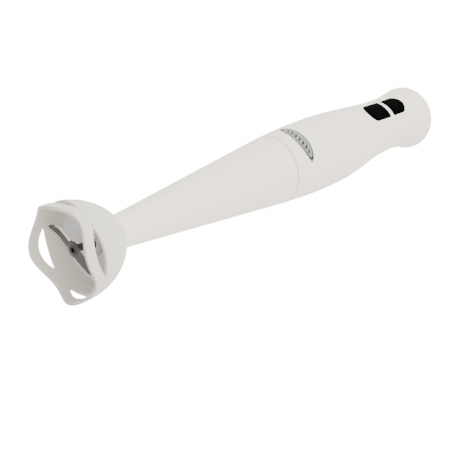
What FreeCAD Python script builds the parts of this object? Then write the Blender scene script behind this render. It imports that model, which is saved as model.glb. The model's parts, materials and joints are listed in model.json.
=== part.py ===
import FreeCAD, Part
import math
import os
import re
import Sketcher
from FreeCAD import Placement, Rotation, Vector

# Immersion blender, lying on its back with the buttons up.
# +X runs from the bell to the cord end, +Z is up, and the origin is the bottom centre of the whole.
# Every piece is drawn in "station" coordinates: x is the distance from the bell's rim along the
# blender's own axis, y and z are measured from that axis. One shared placement, from the sheet,
# then puts the axis at its height above the table.

os.makedirs("parts", exist_ok=True)
doc = FreeCAD.newDocument("immersion_blender")

SIZES = {
    # the whole
    "leg_length": 196.0, "handle_length": 201.0,
    "seam_gap": 0.4, "moving_gap": 0.3, "running_gap": 0.04, "seat_gap": 0.02,
    # bell with its waved rim, four crescent slots and inner ledge
    "bell_radius": 31.0, "bell_wall": 2.4, "dome_start": 7.0, "rim_wave": 5.8, "slot_count": 4,
    "slot_rim_side": 6.8, "slot_dome_side": 12.9, "slot_tip": 11.9, "slot_half_angle": 28.8,
    "ledge_step": 1.2, "boss_low": 26.0, "boss_radius": 8.6,
    # splash plate, a shallow dish that closes the dome on the food side
    "plate_at": 23.6, "plate_thick": 1.6, "plate_dish": 3.4, "plate_seat": 3.2,
    # conical leg tube and the joint between bell and tube
    "neck_at": 44.0, "neck_radius": 10.7, "seam_radius": 26.6, "tube_wall": 2.2, "socket_depth": 12.0,
    "socket_radius": 8.7,
    # drive shaft, its bushings and its seal
    "shaft_radius": 2.4, "bushing_radius": 5.0, "bushing_length": 14.0, "seal_radius": 6.5,
    "seal_depth": 6.0, "retainer_thick": 0.8, "clip_radius": 4.0, "clip_thick": 0.8,
    # blade
    "blade_at": 11.8, "blade_thick": 1.5, "blade_radius": 20.5, "blade_half_width": 3.9,
    "blade_shoulder": 15.6, "blade_heel": 16.8, "blade_bend": 16.0, "blade_root": 4.1,
    "blade_hub_radius": 5.2, "blade_stub_radius": 1.9, "blade_rivet": 0.5, "blade_rise": 3.2,
    # bayonet between leg and motor unit
    "collar_depth": 10.0, "collar_radius": 24.0, "spigot_radius": 19.4, "spigot_wall": 3.0,
    "spigot_length": 12.0, "web_thick": 3.2, "hub_radius": 8.0, "hub_length": 13.0,
    "lug_count": 3, "lug_angle": 24.0, "lug_radius": 22.0, "lug_at": 7.0, "lug_thick": 3.0,
    "unlock_angle": 30.0, "lug_side_gap": 1.0, "socket_length": 14.6,
    # jaw coupling
    "jaw_hub_radius": 4.2, "jaw_reach": 6.6, "jaw_half_width": 1.5, "jaw_length": 11.0,
    "jaw_below_seam": 1.0, "cup_radius": 9.0, "cup_start": 1.3, "cup_length": 16.0,
    # handle shell: place along the handle, radius, and shift of the section towards the front
    "housing_wall": 2.2,
    "skirt_radius": 28.25, "skirt_shift": -0.4, "skirt_at": 23.5,
    "belly_radius": 29.15, "belly_shift": -0.7, "belly_at": 46.0,
    "barrel_radius": 29.2, "barrel_shift": -0.8, "barrel_at": 66.0,
    "shoulder_radius": 28.3, "shoulder_shift": -0.6, "shoulder_at": 86.0,
    "palm_radius": 26.4, "palm_shift": 0.7, "palm_to_end": 97.5,
    "waist_radius": 24.45, "waist_shift": 1.9, "waist_to_end": 80.5,
    "grip_radius": 23.4, "grip_shift": 2.3, "grip_to_end": 65.0,
    "thumb_radius": 23.2, "thumb_shift": 2.3, "thumb_to_end": 49.2,
    "rise_radius": 23.9, "rise_shift": 1.6, "rise_to_end": 34.0,
    "flare_radius": 25.9, "flare_shift": 0.5, "flare_to_end": 20.0,
    "bulb_radius": 28.4, "bulb_shift": -1.4,
    # end cap and cord inlet
    "cap_depth": 6.4, "cap_round": 5.2, "cap_wall": 2.4,
    "cap_lip": 3.8, "cap_fit": 1.2, "cap_dome": 0.4, "cap_spigot": 3.0,
    "vent_inner": 14.6, "vent_outer": 20.0, "vent_half_width": 0.8, "vent_count": 20,
    "inlet_radius": 3.5, "gland_radius": 6.0, "gland_flange": 8.0, "gland_length": 9.0,
    "post_radius": 2.8, "post_spread": 11.0, "post_length": 8.0, "clamp_thick": 3.0,
    "clamp_half_width": 5.4, "clamp_screw_bite": 5.6,
    # two buttons in one pill-shaped field
    "button_half_width": 8.9, "pill_low_to_end": 90.4, "pill_high_to_end": 35.1,
    "pill_low_bow": 5.8, "pill_high_bow": 7.0, "bar_low_to_end": 63.2, "bar_high_to_end": 57.5,
    "button_gap": 0.25, "button_proud": 0.6, "button_travel": 1.8, "button_flange": 1.3,
    "flange_drop": 0.456, "flange_thick": 1.2, "window_depth": 4.8,
    # badge
    "badge_at": 17.1, "badge_half_height": 5.4, "badge_half_width": 18.6,
    "badge_sunk": 0.5, "badge_proud": 0.15,
    # motor
    "motor_shaft_radius": 2.5, "bearing_radius": 5.5, "bearing_length": 7.0,
    "lower_bearing_at": 18.5, "upper_bearing_at": 91.5, "bracket_radius": 19.8,
    "bracket_thick": 3.0, "bracket_hub": 8.0, "stack_at": 42.0, "stack_length": 28.0,
    "core_radius": 20.0, "core_yoke": 4.0, "bore_radius": 11.4, "shoe_thick": 2.1,
    "shoe_angle": 124.0, "arm_half_width": 5.5, "coil_overhang": 5.5, "coil_gap": 0.2,
    "rotor_radius": 11.0, "rotor_slots": 12, "slot_half_width": 1.1, "slot_floor": 6.6,
    "winding_radius": 9.8, "winding_overhang": 6.0, "winding_bore": 4.0, "winding_round": 2.0,
    "commutator_radius": 7.5, "commutator_at": 78.5, "commutator_length": 11.5,
    "riser_radius": 9.0, "riser_length": 2.0,
    "fan_at": 27.5, "fan_length": 7.5, "fan_hub": 6.0, "fan_blades": 9,
    "fan_plate": 1.3, "fan_blade_half": 0.55, "wing_root": 1.2,
    "brush_width": 5.0, "brush_height": 7.0, "brush_length": 6.5, "holder_wall": 0.8,
    "holder_out": 19.2, "spring_radius": 2.1, "bolt_radius": 1.5, "bolt_head": 2.5,
    "bolt_circle": 17.2,
    # inner chassis, its rails, and the switch board
    "chassis_radius": 23.0, "chassis_wall": 1.7, "chassis_end_wall": 3.0, "chassis_web": 2.6,
    "chassis_at": 15.4, "chassis_length": 87.6, "chassis_parting_angle": 0.6, "mount_length": 4.0,
    "rail_inner": 11.6, "rail_outer": 15.0, "rail_low": 4.6,
    "board_to_low_end": 97.0, "board_length": 71.0, "board_half_width": 13.6, "board_thick": 1.6,
    "cap_to_board_end": 39.0, "diode_to_board_end": 14.2, "pin_head": 0.9,
    "switch_long": 12.8, "switch_wide": 5.8, "switch_tall": 6.4, "plunger_radius": 0.9,
    "plunger_tall": 0.5,
    "button_spring_radius": 2.4, "button_spring_wire": 0.5,
    "cap_long": 18.0, "cap_wide": 7.5, "cap_tall": 13.0, "diode_radius": 2.7, "diode_long": 9.0,
    "screw_radius": 1.3, "screw_head": 2.5, "screw_head_tall": 1.6,
}

sheet = doc.addObject("Spreadsheet::Sheet", "sizes")
for row, (word, number) in enumerate(SIZES.items(), start=1):
    sheet.set("A%d" % row, word)
    sheet.set("B%d" % row, repr(number))
    sheet.setAlias("B%d" % row, word)
doc.recompute()

# Stations that many pieces share, as expressions of the sheet's words.
SEAM = "leg_length"
LENGTH = "(leg_length + handle_length)"
DOME_FALL = "(bell_radius - neck_radius)"
DOME_ARC = "(((neck_at - dome_start) ^ 2 + %s ^ 2) / (2 * %s))" % (DOME_FALL, DOME_FALL)
TUBE_TOP = "(leg_length - seam_gap / 2)"
HOUSING_START = "(leg_length + seam_gap / 2)"
HOUSING_END = "(leg_length + handle_length - cap_depth)"
COLLAR_START = "(leg_length - collar_depth)"
BAR_LOW = "(%s - bar_low_to_end)" % LENGTH
BAR_HIGH = "(%s - bar_high_to_end)" % LENGTH
PILL_LOW = "(%s - pill_low_to_end)" % LENGTH
PILL_HIGH = "(%s - pill_high_to_end)" % LENGTH
STACK_START = "(leg_length + stack_at)"
STACK_END = "(leg_length + stack_at + stack_length)"
CHASSIS_START = "(leg_length + chassis_at)"
CHASSIS_END = "(leg_length + chassis_at + chassis_length)"
BOARD_START = "(%s - board_to_low_end)" % LENGTH
SPIGOT_BORE = "(spigot_radius - spigot_wall)"
# The buttons' flanges lie just under the housing's wall where the handle is slimmest, and the
# switches and their board hang below the flanges' full travel.
FLANGE_TOP = ("(thumb_shift + sqrt((thumb_radius - housing_wall) ^ 2"
              " - (button_half_width + button_flange) ^ 2) - flange_drop)")
FLANGE_LOW = "(%s - flange_thick)" % FLANGE_TOP
PLUNGER_TOP = "(%s - button_travel - moving_gap)" % FLANGE_LOW
BOARD_TOP = "(%s - plunger_tall - switch_tall)" % PLUNGER_TOP
RAIL_TOP = "(%s - board_thick)" % BOARD_TOP


def from_sheet(expression):
    """Point every word of an expression at its cell of the sheet."""
    return re.sub(r"\b(?!sqrt\b|sin\b|cos\b)[a-z]\w*", lambda m: "sizes." + m.group(0), expression)


def number(expression):
    """The present value of an expression of the sheet's words."""
    return float(sheet.evalExpression(from_sheet(expression)))


def bind(thing, name, expression):
    thing.setExpression(name, from_sheet(expression))


def on_axis(thing, shift="0", at="0", side="0"):
    """Put a piece drawn in station coordinates where it lies in the frame."""
    bind(thing, ".Placement.Base.x", "%s - %s / 2" % (at, LENGTH))
    bind(thing, ".Placement.Base.y", side)
    bind(thing, ".Placement.Base.z", "bell_radius + (%s)" % shift)


def new_body(label, shift="0"):
    body = doc.addObject("PartDesign::Body", label)
    body.Label = label
    on_axis(body, shift)
    return body


def origin_feature(body, role):
    return next(item for item in body.Origin.OriginFeatures if item.Role == role)


def new_sketch(body, plane, height="0", turn=0.0):
    """A sketch on one of the body's own planes, lifted along its normal or turned about X."""
    sketch = body.newObject("Sketcher::SketchObject", body.Label + "_sketch")
    sketch.AttachmentSupport = [(origin_feature(body, plane), "")]
    sketch.MapMode = "FlatFace"
    sketch.AttachmentOffset = Placement(Vector(), Rotation(Vector(1, 0, 0), turn))
    bind(sketch, ".AttachmentOffset.Base.z", height)
    return sketch


def pin_point(sketch, edge, end, across, up):
    """Hold one end of an edge at two expressions measured from the sketch's origin."""
    for kind, axis, expression in (("DistanceX", -2, across), ("DistanceY", -1, up)):
        if abs(number(expression)) < 1e-9:
            sketch.addConstraint(Sketcher.Constraint("PointOnObject", edge, end, axis))
        else:
            value = number(expression)
            index = sketch.addConstraint(Sketcher.Constraint(kind, edge, end, value))
            bind(sketch, "Constraints[%d]" % index, expression)


def arc_through(start, end, radius, side):
    """The arc of a radius between two points, bulging to the left (+1) or right (-1).
    A sketch keeps its arcs anticlockwise, so the caller asks for one that bulges right."""
    middle = (start + end) * 0.5
    chord = end - start
    half = chord.Length / 2
    left = Vector(-chord.y, chord.x, 0).normalize()
    sagitta = radius - math.sqrt(max(radius ** 2 - half ** 2, 0.0))
    return Part.Arc(start, middle + left * sagitta * side, end)


def draw(sketch, outline):
    """Draw a closed outline. A corner is (across, up) or, where an arc leads to it,
    (across, up, radius, side)."""
    corners = [Vector(number(c[0]), number(c[1]), 0) for c in outline]
    edges = []
    for index, corner in enumerate(outline):
        start, end = corners[index - 1], corners[index]
        if len(corner) == 2:
            edges.append((sketch.addGeometry(Part.LineSegment(start, end)), 1, 2))
        else:
            radius, side = number(corner[2]), corner[3]
            if side < 0:
                edge = sketch.addGeometry(arc_through(start, end, radius, side))
                edges.append((edge, 1, 2))
            else:
                edge = sketch.addGeometry(arc_through(end, start, radius, -side))
                edges.append((edge, 2, 1))
            at = sketch.addConstraint(Sketcher.Constraint("Radius", edge, number(corner[2])))
            bind(sketch, "Constraints[%d]" % at, corner[2])
    for index, (edge, first, last) in enumerate(edges):
        follower = edges[(index + 1) % len(edges)]
        sketch.addConstraint(Sketcher.Constraint("Coincident", edge, last, follower[0], follower[1]))
        pin_point(sketch, edge, last, outline[index][0], outline[index][1])


def draw_circle(sketch, across, up, radius):
    circle = Part.Circle(Vector(number(across), number(up), 0), Vector(0, 0, 1), number(radius))
    edge = sketch.addGeometry(circle)
    pin_point(sketch, edge, 3, across, up)
    at = sketch.addConstraint(Sketcher.Constraint("Radius", edge, number(radius)))
    bind(sketch, "Constraints[%d]" % at, radius)


def turned(label, outline, shift="0"):
    """A piece turned about the axis from an outline of (station, radius) corners."""
    body = new_body(label, shift)
    sketch = new_sketch(body, "XZ_Plane")
    draw(sketch, outline)
    feature = body.newObject("PartDesign::Revolution", label + "_turned")
    feature.Profile = sketch
    feature.ReferenceAxis = (sketch, ["H_Axis"])
    feature.Angle = 360.0
    return body


def sector(body, kind, outline, angle, centre=0.0):
    """Add or cut a ring sector: an outline turned about the axis by an angle."""
    sketch = new_sketch(body, "XZ_Plane", turn=centre)
    draw(sketch, outline)
    feature = body.newObject(kind, body.Label + "_sector")
    feature.Profile = sketch
    feature.ReferenceAxis = (sketch, ["H_Axis"])
    feature.Midplane = True
    bind(feature, "Angle", angle)
    return feature


def pad(body, sketch, length, midplane=False):
    feature = body.newObject("PartDesign::Pad", body.Label + "_pad")
    feature.Profile = sketch
    feature.Midplane = midplane
    bind(feature, "Length", length)
    return feature


def pocket(body, sketch, length, midplane=False):
    """Cut along the sketch's normal, away from its plane."""
    feature = body.newObject("PartDesign::Pocket", body.Label + "_pocket")
    feature.Profile = sketch
    feature.Midplane = midplane
    feature.Reversed = not midplane
    bind(feature, "Length", length)
    return feature


def around(body, feature, count):
    """Repeat a feature evenly about the axis."""
    pattern = body.newObject("PartDesign::PolarPattern", body.Label + "_around")
    pattern.Originals = [feature]
    pattern.Axis = (origin_feature(body, "X_Axis"), [""])
    pattern.Angle = 360.0
    bind(pattern, "Occurrences", count)
    body.Tip = pattern
    return pattern


def rectangle(x_low, x_high, y_low, y_high):
    return [(x_high, y_low), (x_high, y_high), (x_low, y_high), (x_low, y_low)]


def drill(body, start, length, up, radius, count="1", across="0"):
    """Holes parallel to the axis."""
    sketch = new_sketch(body, "YZ_Plane", start)
    draw_circle(sketch, across, up, radius)
    feature = pocket(body, sketch, length)
    if count != "1":
        around(body, feature, count)


def ring(start, end, inner, outer):
    """The outline of a plain ring."""
    return [(end, inner), (end, outer), (start, outer), (start, inner)]


def cylinder(name, radius, length, at, side="0", up="0", along=(1, 0, 0)):
    """A plain cylinder that starts at a point and runs along a direction."""
    rod = doc.addObject("Part::Cylinder", name)
    rod.Placement = Placement(Vector(), Rotation(Vector(0, 0, 1), Vector(*along)))
    bind(rod, "Radius", radius)
    bind(rod, "Height", length)
    on_axis(rod, up, at, side)
    return rod


def block(name, at, side, up, long, wide, tall):
    """A plain block from its lowest corner, in station coordinates."""
    box = doc.addObject("Part::Box", name)
    bind(box, "Length", long)
    bind(box, "Width", wide)
    bind(box, "Height", tall)
    on_axis(box, up, at, side)
    return box


def fuse(label, pieces):
    joined = doc.addObject("Part::MultiFuse", label)
    joined.Shapes = pieces
    joined.Label = label
    return joined


def cut(label, base, tools):
    """Take one or more tools away from a base, one after another."""
    for tool in tools:
        result = doc.addObject("Part::Cut", label)
        result.Label = label + "_step"
        result.Base = base
        result.Tool = tool
        base = result
    base.Label = label
    return base


def prism(name, outline, low, tall):
    """An outline in the station-side plane, raised to a block."""
    sketch = doc.addObject("Sketcher::SketchObject", name + "_outline")
    on_axis(sketch, low)
    draw(sketch, outline)
    solid = doc.addObject("Part::Extrusion", name)
    solid.Base = sketch
    solid.DirMode = "Custom"
    solid.Dir = Vector(0, 0, 1)
    solid.Solid = True
    bind(solid, "LengthFwd", tall)
    return solid


def screws(label, places, along, length):
    """Pan-head screws as one node. A place is where the head's seat lies."""
    bits = []
    back = tuple(-part for part in along)
    for at, side, up in places:
        bits.append(cylinder(label + "_shank", "screw_radius", length, at, side, up, along))
        bits.append(cylinder(label + "_head", "screw_head", "screw_head_tall", at, side, up, back))
    return fuse(label, bits)


kept = []

# ---------------------------------------------------------------- leg: bell, tube, collar

# The bell guard: a thin skirt, a domed roof with a ledge inside, and a boss for bushing and seal
# that goes on as a spigot into the leg tube.
SKIRT_BORE = "(bell_radius - bell_wall)"
LEDGE_AT = "(plate_at + plate_thick)"


def dome_radius(station, inset):
    """The dome's radius at a station, at a depth below its outside."""
    return "(bell_radius - %s + sqrt((%s - %s) ^ 2 - (%s - dome_start) ^ 2))" % (
        DOME_ARC, DOME_ARC, inset, station)


ROOF_ARC = "(%s - bell_wall - ledge_step)" % DOME_ARC
SEAL_SEAT = "(boss_low + seal_depth)"
SPIGOT_END = "(neck_at + socket_depth)"
bell = turned("bell_shell", [
    ("0", "bell_radius"),
    ("dome_start", "bell_radius"),
    ("neck_at", "neck_radius", DOME_ARC, 1),
    ("neck_at", "socket_radius - seat_gap"),
    (SPIGOT_END, "socket_radius - seat_gap"),
    (SPIGOT_END, "bushing_radius"),
    (SEAL_SEAT, "bushing_radius"),
    (SEAL_SEAT, "seal_radius"),
    ("boss_low", "seal_radius"),
    ("boss_low", "boss_radius"),
    ("dome_start + sqrt(%s ^ 2 - (%s - bell_radius + boss_radius) ^ 2)" % (ROOF_ARC, DOME_ARC),
     "boss_radius"),
    (LEDGE_AT, dome_radius(LEDGE_AT, "(bell_wall + ledge_step)"), ROOF_ARC, -1),
    (LEDGE_AT, dome_radius(LEDGE_AT, "bell_wall")),
    ("dome_start", SKIRT_BORE, "(%s - bell_wall)" % DOME_ARC, -1),
    ("0", SKIRT_BORE),
])
# Crescent slots, one behind each lobe of the rim.
slot_half = "(bell_radius * sin(slot_half_angle))"
rim_rise = "(slot_tip - slot_rim_side)"
dome_rise = "(slot_dome_side - slot_tip)"
slot_sketch = new_sketch(bell, "XY_Plane", turn=45.0)
draw(slot_sketch, [
    ("slot_tip", slot_half, "(%s ^ 2 + %s ^ 2) / (2 * %s)" % (slot_half, rim_rise, rim_rise), 1),
    ("slot_tip", "-" + slot_half,
     "(%s ^ 2 + %s ^ 2) / (2 * %s)" % (slot_half, dome_rise, dome_rise), 1),
])
slot_cut = pocket(bell, slot_sketch, "bell_radius + bell_wall")
around(bell, slot_cut, "slot_count")

# The rim's four lobes: between them the edge dips by the height of the wave.
wave_rows = 12
wave_height, wave_radius = number("rim_wave"), number("bell_radius")
dips = []
for quarter in range(4):
    line = []
    for step in range(-wave_rows, wave_rows + 1):
        angle = math.radians(45.0 * step / wave_rows)
        line.append(Vector(wave_height / 2 * (1 + math.cos(4 * angle)),
                           wave_radius * math.sin(angle), 0))
    crest = Part.BSplineCurve()
    crest.interpolate(line)
    below = -number("bell_wall")
    corners = [line[-1], Vector(below, line[-1].y, 0), Vector(below, line[0].y, 0), line[0]]
    floor = [Part.makeLine(a, b) for a, b in zip(corners, corners[1:])]
    face = Part.Face(Part.Wire([crest.toShape()] + floor))
    dip = face.extrude(Vector(0, 0, wave_radius + number("bell_wall")))
    dip.rotate(Vector(), Vector(1, 0, 0), 90.0 * quarter)
    dips.append(dip)
rim_dips = doc.addObject("Part::Feature", "rim_dips")
rim_dips.Shape = Part.makeCompound(dips)
on_axis(rim_dips)
kept.append(cut("bell_guard", bell, [rim_dips]))

# The splash plate, pressed in against the ledge, with the boss through its middle.
PLATE_RADIUS = dome_radius("plate_at", "bell_wall") + " - 2 * seat_gap"
kept.append(turned("splash_plate", [
    ("plate_at", PLATE_RADIUS),
    (LEDGE_AT + " - seat_gap", dome_radius(LEDGE_AT, "bell_wall") + " - 2 * seat_gap"),
    (LEDGE_AT + " - seat_gap", PLATE_RADIUS + " - plate_seat"),
    (LEDGE_AT + " + plate_dish", "boss_radius + seat_gap"),
    ("plate_at + plate_dish", "boss_radius + seat_gap"),
    ("plate_at", PLATE_RADIUS + " - plate_seat + plate_thick / 2"),
]))

# The leg tube, a straight cone with a parallel socket at the neck and a seat for the collar.
CONE = "((seam_radius - neck_radius) / (%s - neck_at))" % TUBE_TOP
SOCKET_END = "(%s + seam_gap)" % SPIGOT_END
kept.append(turned("leg_tube", [
    ("neck_at", "neck_radius"),
    (TUBE_TOP, "seam_radius"),
    (TUBE_TOP, "collar_radius"),
    (COLLAR_START, "collar_radius"),
    (COLLAR_START, "seam_radius - tube_wall - %s * (%s - %s)" % (CONE, TUBE_TOP, COLLAR_START)),
    (SOCKET_END, "neck_radius - tube_wall + %s * (%s - neck_at)" % (CONE, SOCKET_END)),
    (SOCKET_END, "socket_radius"),
    ("neck_at", "socket_radius"),
]))

# The collar in the tube's mouth: spigot with bayonet lugs, and a web whose hub holds the bushing.
HUB_START = "(%s - hub_length / 2)" % COLLAR_START
HUB_END = "(%s + hub_length / 2)" % COLLAR_START
SPIGOT_TOP = "(leg_length + spigot_length)"
WEB_END = "(%s + web_thick)" % COLLAR_START
collar = turned("leg_collar", [
    (HUB_START, "bushing_radius"),
    (HUB_START, "hub_radius"),
    (COLLAR_START, "hub_radius"),
    (COLLAR_START, "collar_radius - seat_gap"),
    (TUBE_TOP, "collar_radius - seat_gap"),
    (TUBE_TOP, "spigot_radius"),
    (SPIGOT_TOP, "spigot_radius"),
    (SPIGOT_TOP, SPIGOT_BORE),
    (WEB_END, SPIGOT_BORE),
    (WEB_END, "hub_radius"),
    (HUB_END, "hub_radius"),
    (HUB_END, "bushing_radius"),
])
LUG_LOW = "(leg_length + lug_at)"
LUG_HIGH = "(leg_length + lug_at + lug_thick)"
lug = sector(collar, "PartDesign::Revolution",
             ring(LUG_LOW, LUG_HIGH, "spigot_radius - seat_gap * 5", "lug_radius"), "lug_angle")
around(collar, lug, "lug_count")
kept.append(collar)

# Sintered bushings, rubber shaft seal and the steel ring that keeps the seal in.
BUSHING_BORE = "(shaft_radius + running_gap)"
kept.append(turned("lower_bushing", ring("%s - bushing_length" % SPIGOT_END, SPIGOT_END,
                                         BUSHING_BORE, "bushing_radius - seat_gap")))
kept.append(turned("upper_bushing", ring(HUB_START, HUB_END,
                                         BUSHING_BORE, "bushing_radius - seat_gap")))
SEAL_START = "(boss_low + retainer_thick)"
kept.append(turned("shaft_seal", [
    (SEAL_SEAT, BUSHING_BORE),
    (SEAL_SEAT, "seal_radius - seat_gap"),
    (SEAL_START, "seal_radius - seat_gap"),
    (SEAL_START, "seal_radius - seal_depth / 4"),
    ("%s - seal_depth / 4" % SEAL_SEAT, "seal_radius - seal_depth / 4"),
    ("%s - seal_depth / 4" % SEAL_SEAT, "shaft_radius + seal_depth / 4"),
    (SEAL_START, BUSHING_BORE),
]))
kept.append(turned("seal_retainer", ring("boss_low", SEAL_START, "shaft_radius + seal_depth / 4",
                                         "seal_radius - seat_gap")))

# ---------------------------------------------------------------- drive shaft and blade

JAW_START = "(leg_length - jaw_below_seam)"
JAW_END = "(%s + jaw_length)" % JAW_START
BLADE_BACK = "(blade_at + blade_thick)"
STUB_TIP = "(blade_at - blade_rivet)"
kept.append(turned("drive_shaft", [
    (STUB_TIP, "blade_stub_radius / 2"),
    (STUB_TIP, "blade_stub_radius"),
    (BLADE_BACK, "blade_stub_radius"),
    (BLADE_BACK, "shaft_radius"),
    ("%s - seam_gap" % JAW_END, "shaft_radius"),
    ("%s - seam_gap" % JAW_END, "0"),
    ("blade_at + blade_stub_radius", "0"),
    ("blade_at + blade_stub_radius", "blade_stub_radius / 2"),
]))

# The blade: a hub and two swept arms from one sheet of steel, one tip bent towards the rim.
blade = new_body("blade")
hub_sketch = new_sketch(blade, "YZ_Plane", "blade_at")
draw_circle(hub_sketch, "0", "0", "blade_hub_radius")
pad(blade, hub_sketch, "blade_thick")
arm_sketch = new_sketch(blade, "YZ_Plane", "blade_at")
arm = [("blade_shoulder", "blade_half_width"), ("blade_radius", "0"),
       ("blade_heel", "-blade_half_width"), ("0", "-blade_root")]
arm += [("-(%s)" % y, "-(%s)" % z) for y, z in arm]
draw(arm_sketch, arm)
pad(blade, arm_sketch, "blade_thick")
tip_sketch = new_sketch(blade, "XY_Plane")
draw(tip_sketch, [
    (BLADE_BACK, "blade_bend"),
    ("blade_at - blade_rise + blade_thick", "blade_radius"),
    ("blade_at - blade_rise", "blade_radius - blade_thick / 2"),
    ("blade_at", "blade_bend"),
])
pad(blade, tip_sketch, "blade_half_width", midplane=True)
drill(blade, "blade_at - blade_thick", "blade_thick * 3", "0", "blade_stub_radius + seat_gap")
kept.append(blade)

# The driven half of the jaw coupling, a steel hub with four wings, and the clip under it.
driven = turned("driven_coupling", ring(JAW_START, JAW_END, "shaft_radius + seat_gap",
                                        "jaw_hub_radius"))
wing_sketch = new_sketch(driven, "YZ_Plane", JAW_START)
draw(wing_sketch, rectangle("-jaw_half_width", "jaw_half_width",
                            "jaw_hub_radius - wing_root", "jaw_reach"))
wing = pad(driven, wing_sketch, "jaw_length")
around(driven, wing, "4")
kept.append(driven)
CLIP_START = "(%s + running_gap * 5)" % HUB_END
kept.append(turned("shaft_clip", ring(CLIP_START, "%s + clip_thick" % CLIP_START,
                                      "shaft_radius + seat_gap", "clip_radius")))

# ---------------------------------------------------------------- motor unit: shell

SECTIONS = [
    ("skirt", "leg_length + skirt_at"), ("belly", "leg_length + belly_at"),
    ("barrel", "leg_length + barrel_at"), ("shoulder", "leg_length + shoulder_at"),
] + [(word, "%s - %s_to_end" % (LENGTH, word))
     for word in ("palm", "waist", "grip", "thumb", "rise", "flare")]
SECTIONS += [("bulb", HOUSING_END)]


def handle_form(name, grow):
    """The handle's outside, lofted through its sections, grown or shrunk by an amount."""
    rings = [("seam_radius", "0", HOUSING_START)]
    rings += [(word + "_radius", word + "_shift", at) for word, at in SECTIONS]
    circles = []
    for radius, shift, at in rings:
        circle = doc.addObject("Part::Circle", name + "_section")
        circle.Placement = Placement(Vector(), Rotation(Vector(0, 0, 1), Vector(1, 0, 0)))
        bind(circle, "Radius", "%s + (%s)" % (radius, grow))
        on_axis(circle, shift, at)
        circles.append(circle)
    form = doc.addObject("Part::Loft", name)
    form.Sections = circles
    form.Solid = True
    form.Ruled = False
    return form


def pill_end(station, bow, width, towards):
    """The far corner of a bowed end, reached by the end's own arc."""
    radius = "((%s) ^ 2 + (%s) ^ 2) / (2 * (%s))" % (width, bow, bow)
    return (station, "%s(%s)" % ("-" if towards < 0 else "", width), radius, -1)


def button_outline(low, high, half_width, bow, bowed_low, grow="0"):
    """One button: three straight sides and one bowed end, at the low or the high station."""
    half = "%s + (%s)" % (half_width, grow)
    if bowed_low:
        base = "%s + (%s)" % (low, bow)
        return [("%s + (%s)" % (high, grow), "-(%s)" % half),
                ("%s + (%s)" % (high, grow), half),
                (base, half),
                pill_end(base, "%s + (%s)" % (bow, grow), half, -1)]
    base = "%s - (%s)" % (high, bow)
    return [("%s - (%s)" % (low, grow), half),
            ("%s - (%s)" % (low, grow), "-(%s)" % half),
            (base, "-(%s)" % half),
            pill_end(base, "%s + (%s)" % (bow, grow), half, 1)]


def low_outline(grow="0"):
    return button_outline(PILL_LOW, BAR_LOW, "button_half_width", "pill_low_bow", True, grow)


def turbo_outline(grow="0"):
    return button_outline(BAR_HIGH, PILL_HIGH, "button_half_width", "pill_high_bow", False, grow)


outside = handle_form("outside", "0")
inside = handle_form("inside", "-housing_wall")
WINDOW_LOW = "(%s - window_depth)" % FLANGE_TOP
windows = [prism("low_window", low_outline("button_gap"), WINDOW_LOW, "bell_radius"),
           prism("turbo_window", turbo_outline("button_gap"), WINDOW_LOW, "bell_radius")]


def badge_prism(name, grow):
    """An upright oval column over the badge's place."""
    column = doc.addObject("Part::Ellipse", name + "_oval")
    column.Placement = Placement(Vector(), Rotation(Vector(0, 0, 1), 90))
    bind(column, "MajorRadius", "badge_half_width + (%s)" % grow)
    bind(column, "MinorRadius", "badge_half_height + (%s)" % grow)
    on_axis(column, "0", "leg_length + badge_at")
    solid = doc.addObject("Part::Extrusion", name)
    solid.Base = column
    solid.DirMode = "Custom"
    solid.Dir = Vector(0, 0, 1)
    solid.Solid = True
    bind(solid, "LengthFwd", "bell_radius * 2")
    return solid


under_badge = handle_form("under_badge", "-badge_sunk")
badge_recess = cut("badge_recess", badge_prism("recess_column", "seat_gap"), [under_badge])
kept.append(cut("handle_housing", outside, [inside] + windows + [badge_recess]))

over_badge = handle_form("over_badge", "badge_proud")
badge_blank = doc.addObject("Part::Common", "badge_blank")
badge_blank.Base = badge_prism("badge_column", "0")
badge_blank.Tool = over_badge
badge_seat = handle_form("badge_seat", "seat_gap - badge_sunk")
kept.append(cut("badge", badge_blank, [badge_seat]))

# The domed end cap, its two clamp posts, and the cord inlet's gland.
CAP_INSIDE = "(bulb_radius - housing_wall)"
CAP_FACE = "(%s - cap_dome)" % LENGTH
CAP_ROOF = "(%s - cap_wall)" % CAP_FACE
CAP_SEAT = "(%s + seat_gap)" % HOUSING_END
cap = turned("end_cap", [
    (CAP_SEAT, "bulb_radius"),
    ("%s - cap_round" % CAP_FACE, "bulb_radius"),
    (CAP_FACE, "bulb_radius - cap_round", "cap_round", 1),
    (CAP_FACE, "gland_radius + seat_gap"),
    (CAP_ROOF, "gland_radius + seat_gap"),
    (CAP_ROOF, "%s - cap_lip" % CAP_INSIDE),
    ("%s - cap_spigot" % CAP_SEAT, "%s - cap_lip" % CAP_INSIDE),
    ("%s - cap_spigot" % CAP_SEAT, "%s - cap_fit" % CAP_INSIDE),
    (CAP_SEAT, "%s - seat_gap" % CAP_INSIDE),
], "bulb_shift")
post_sketch = new_sketch(cap, "YZ_Plane", "%s - post_length" % CAP_ROOF)
draw_circle(post_sketch, "post_spread", "0", "post_radius")
draw_circle(post_sketch, "-post_spread", "0", "post_radius")
pad(cap, post_sketch, "post_length + cap_wall / 2")
pilot_sketch = new_sketch(cap, "YZ_Plane", "%s - post_length - cap_wall" % CAP_ROOF)
draw_circle(pilot_sketch, "post_spread", "0", "screw_radius + seat_gap")
draw_circle(pilot_sketch, "-post_spread", "0", "screw_radius + seat_gap")
pocket(cap, pilot_sketch, "post_length + cap_wall")
vent_sketch = new_sketch(cap, "YZ_Plane", "%s - cap_wall" % CAP_ROOF)
draw(vent_sketch, rectangle("-vent_half_width", "vent_half_width", "vent_inner", "vent_outer"))
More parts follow.
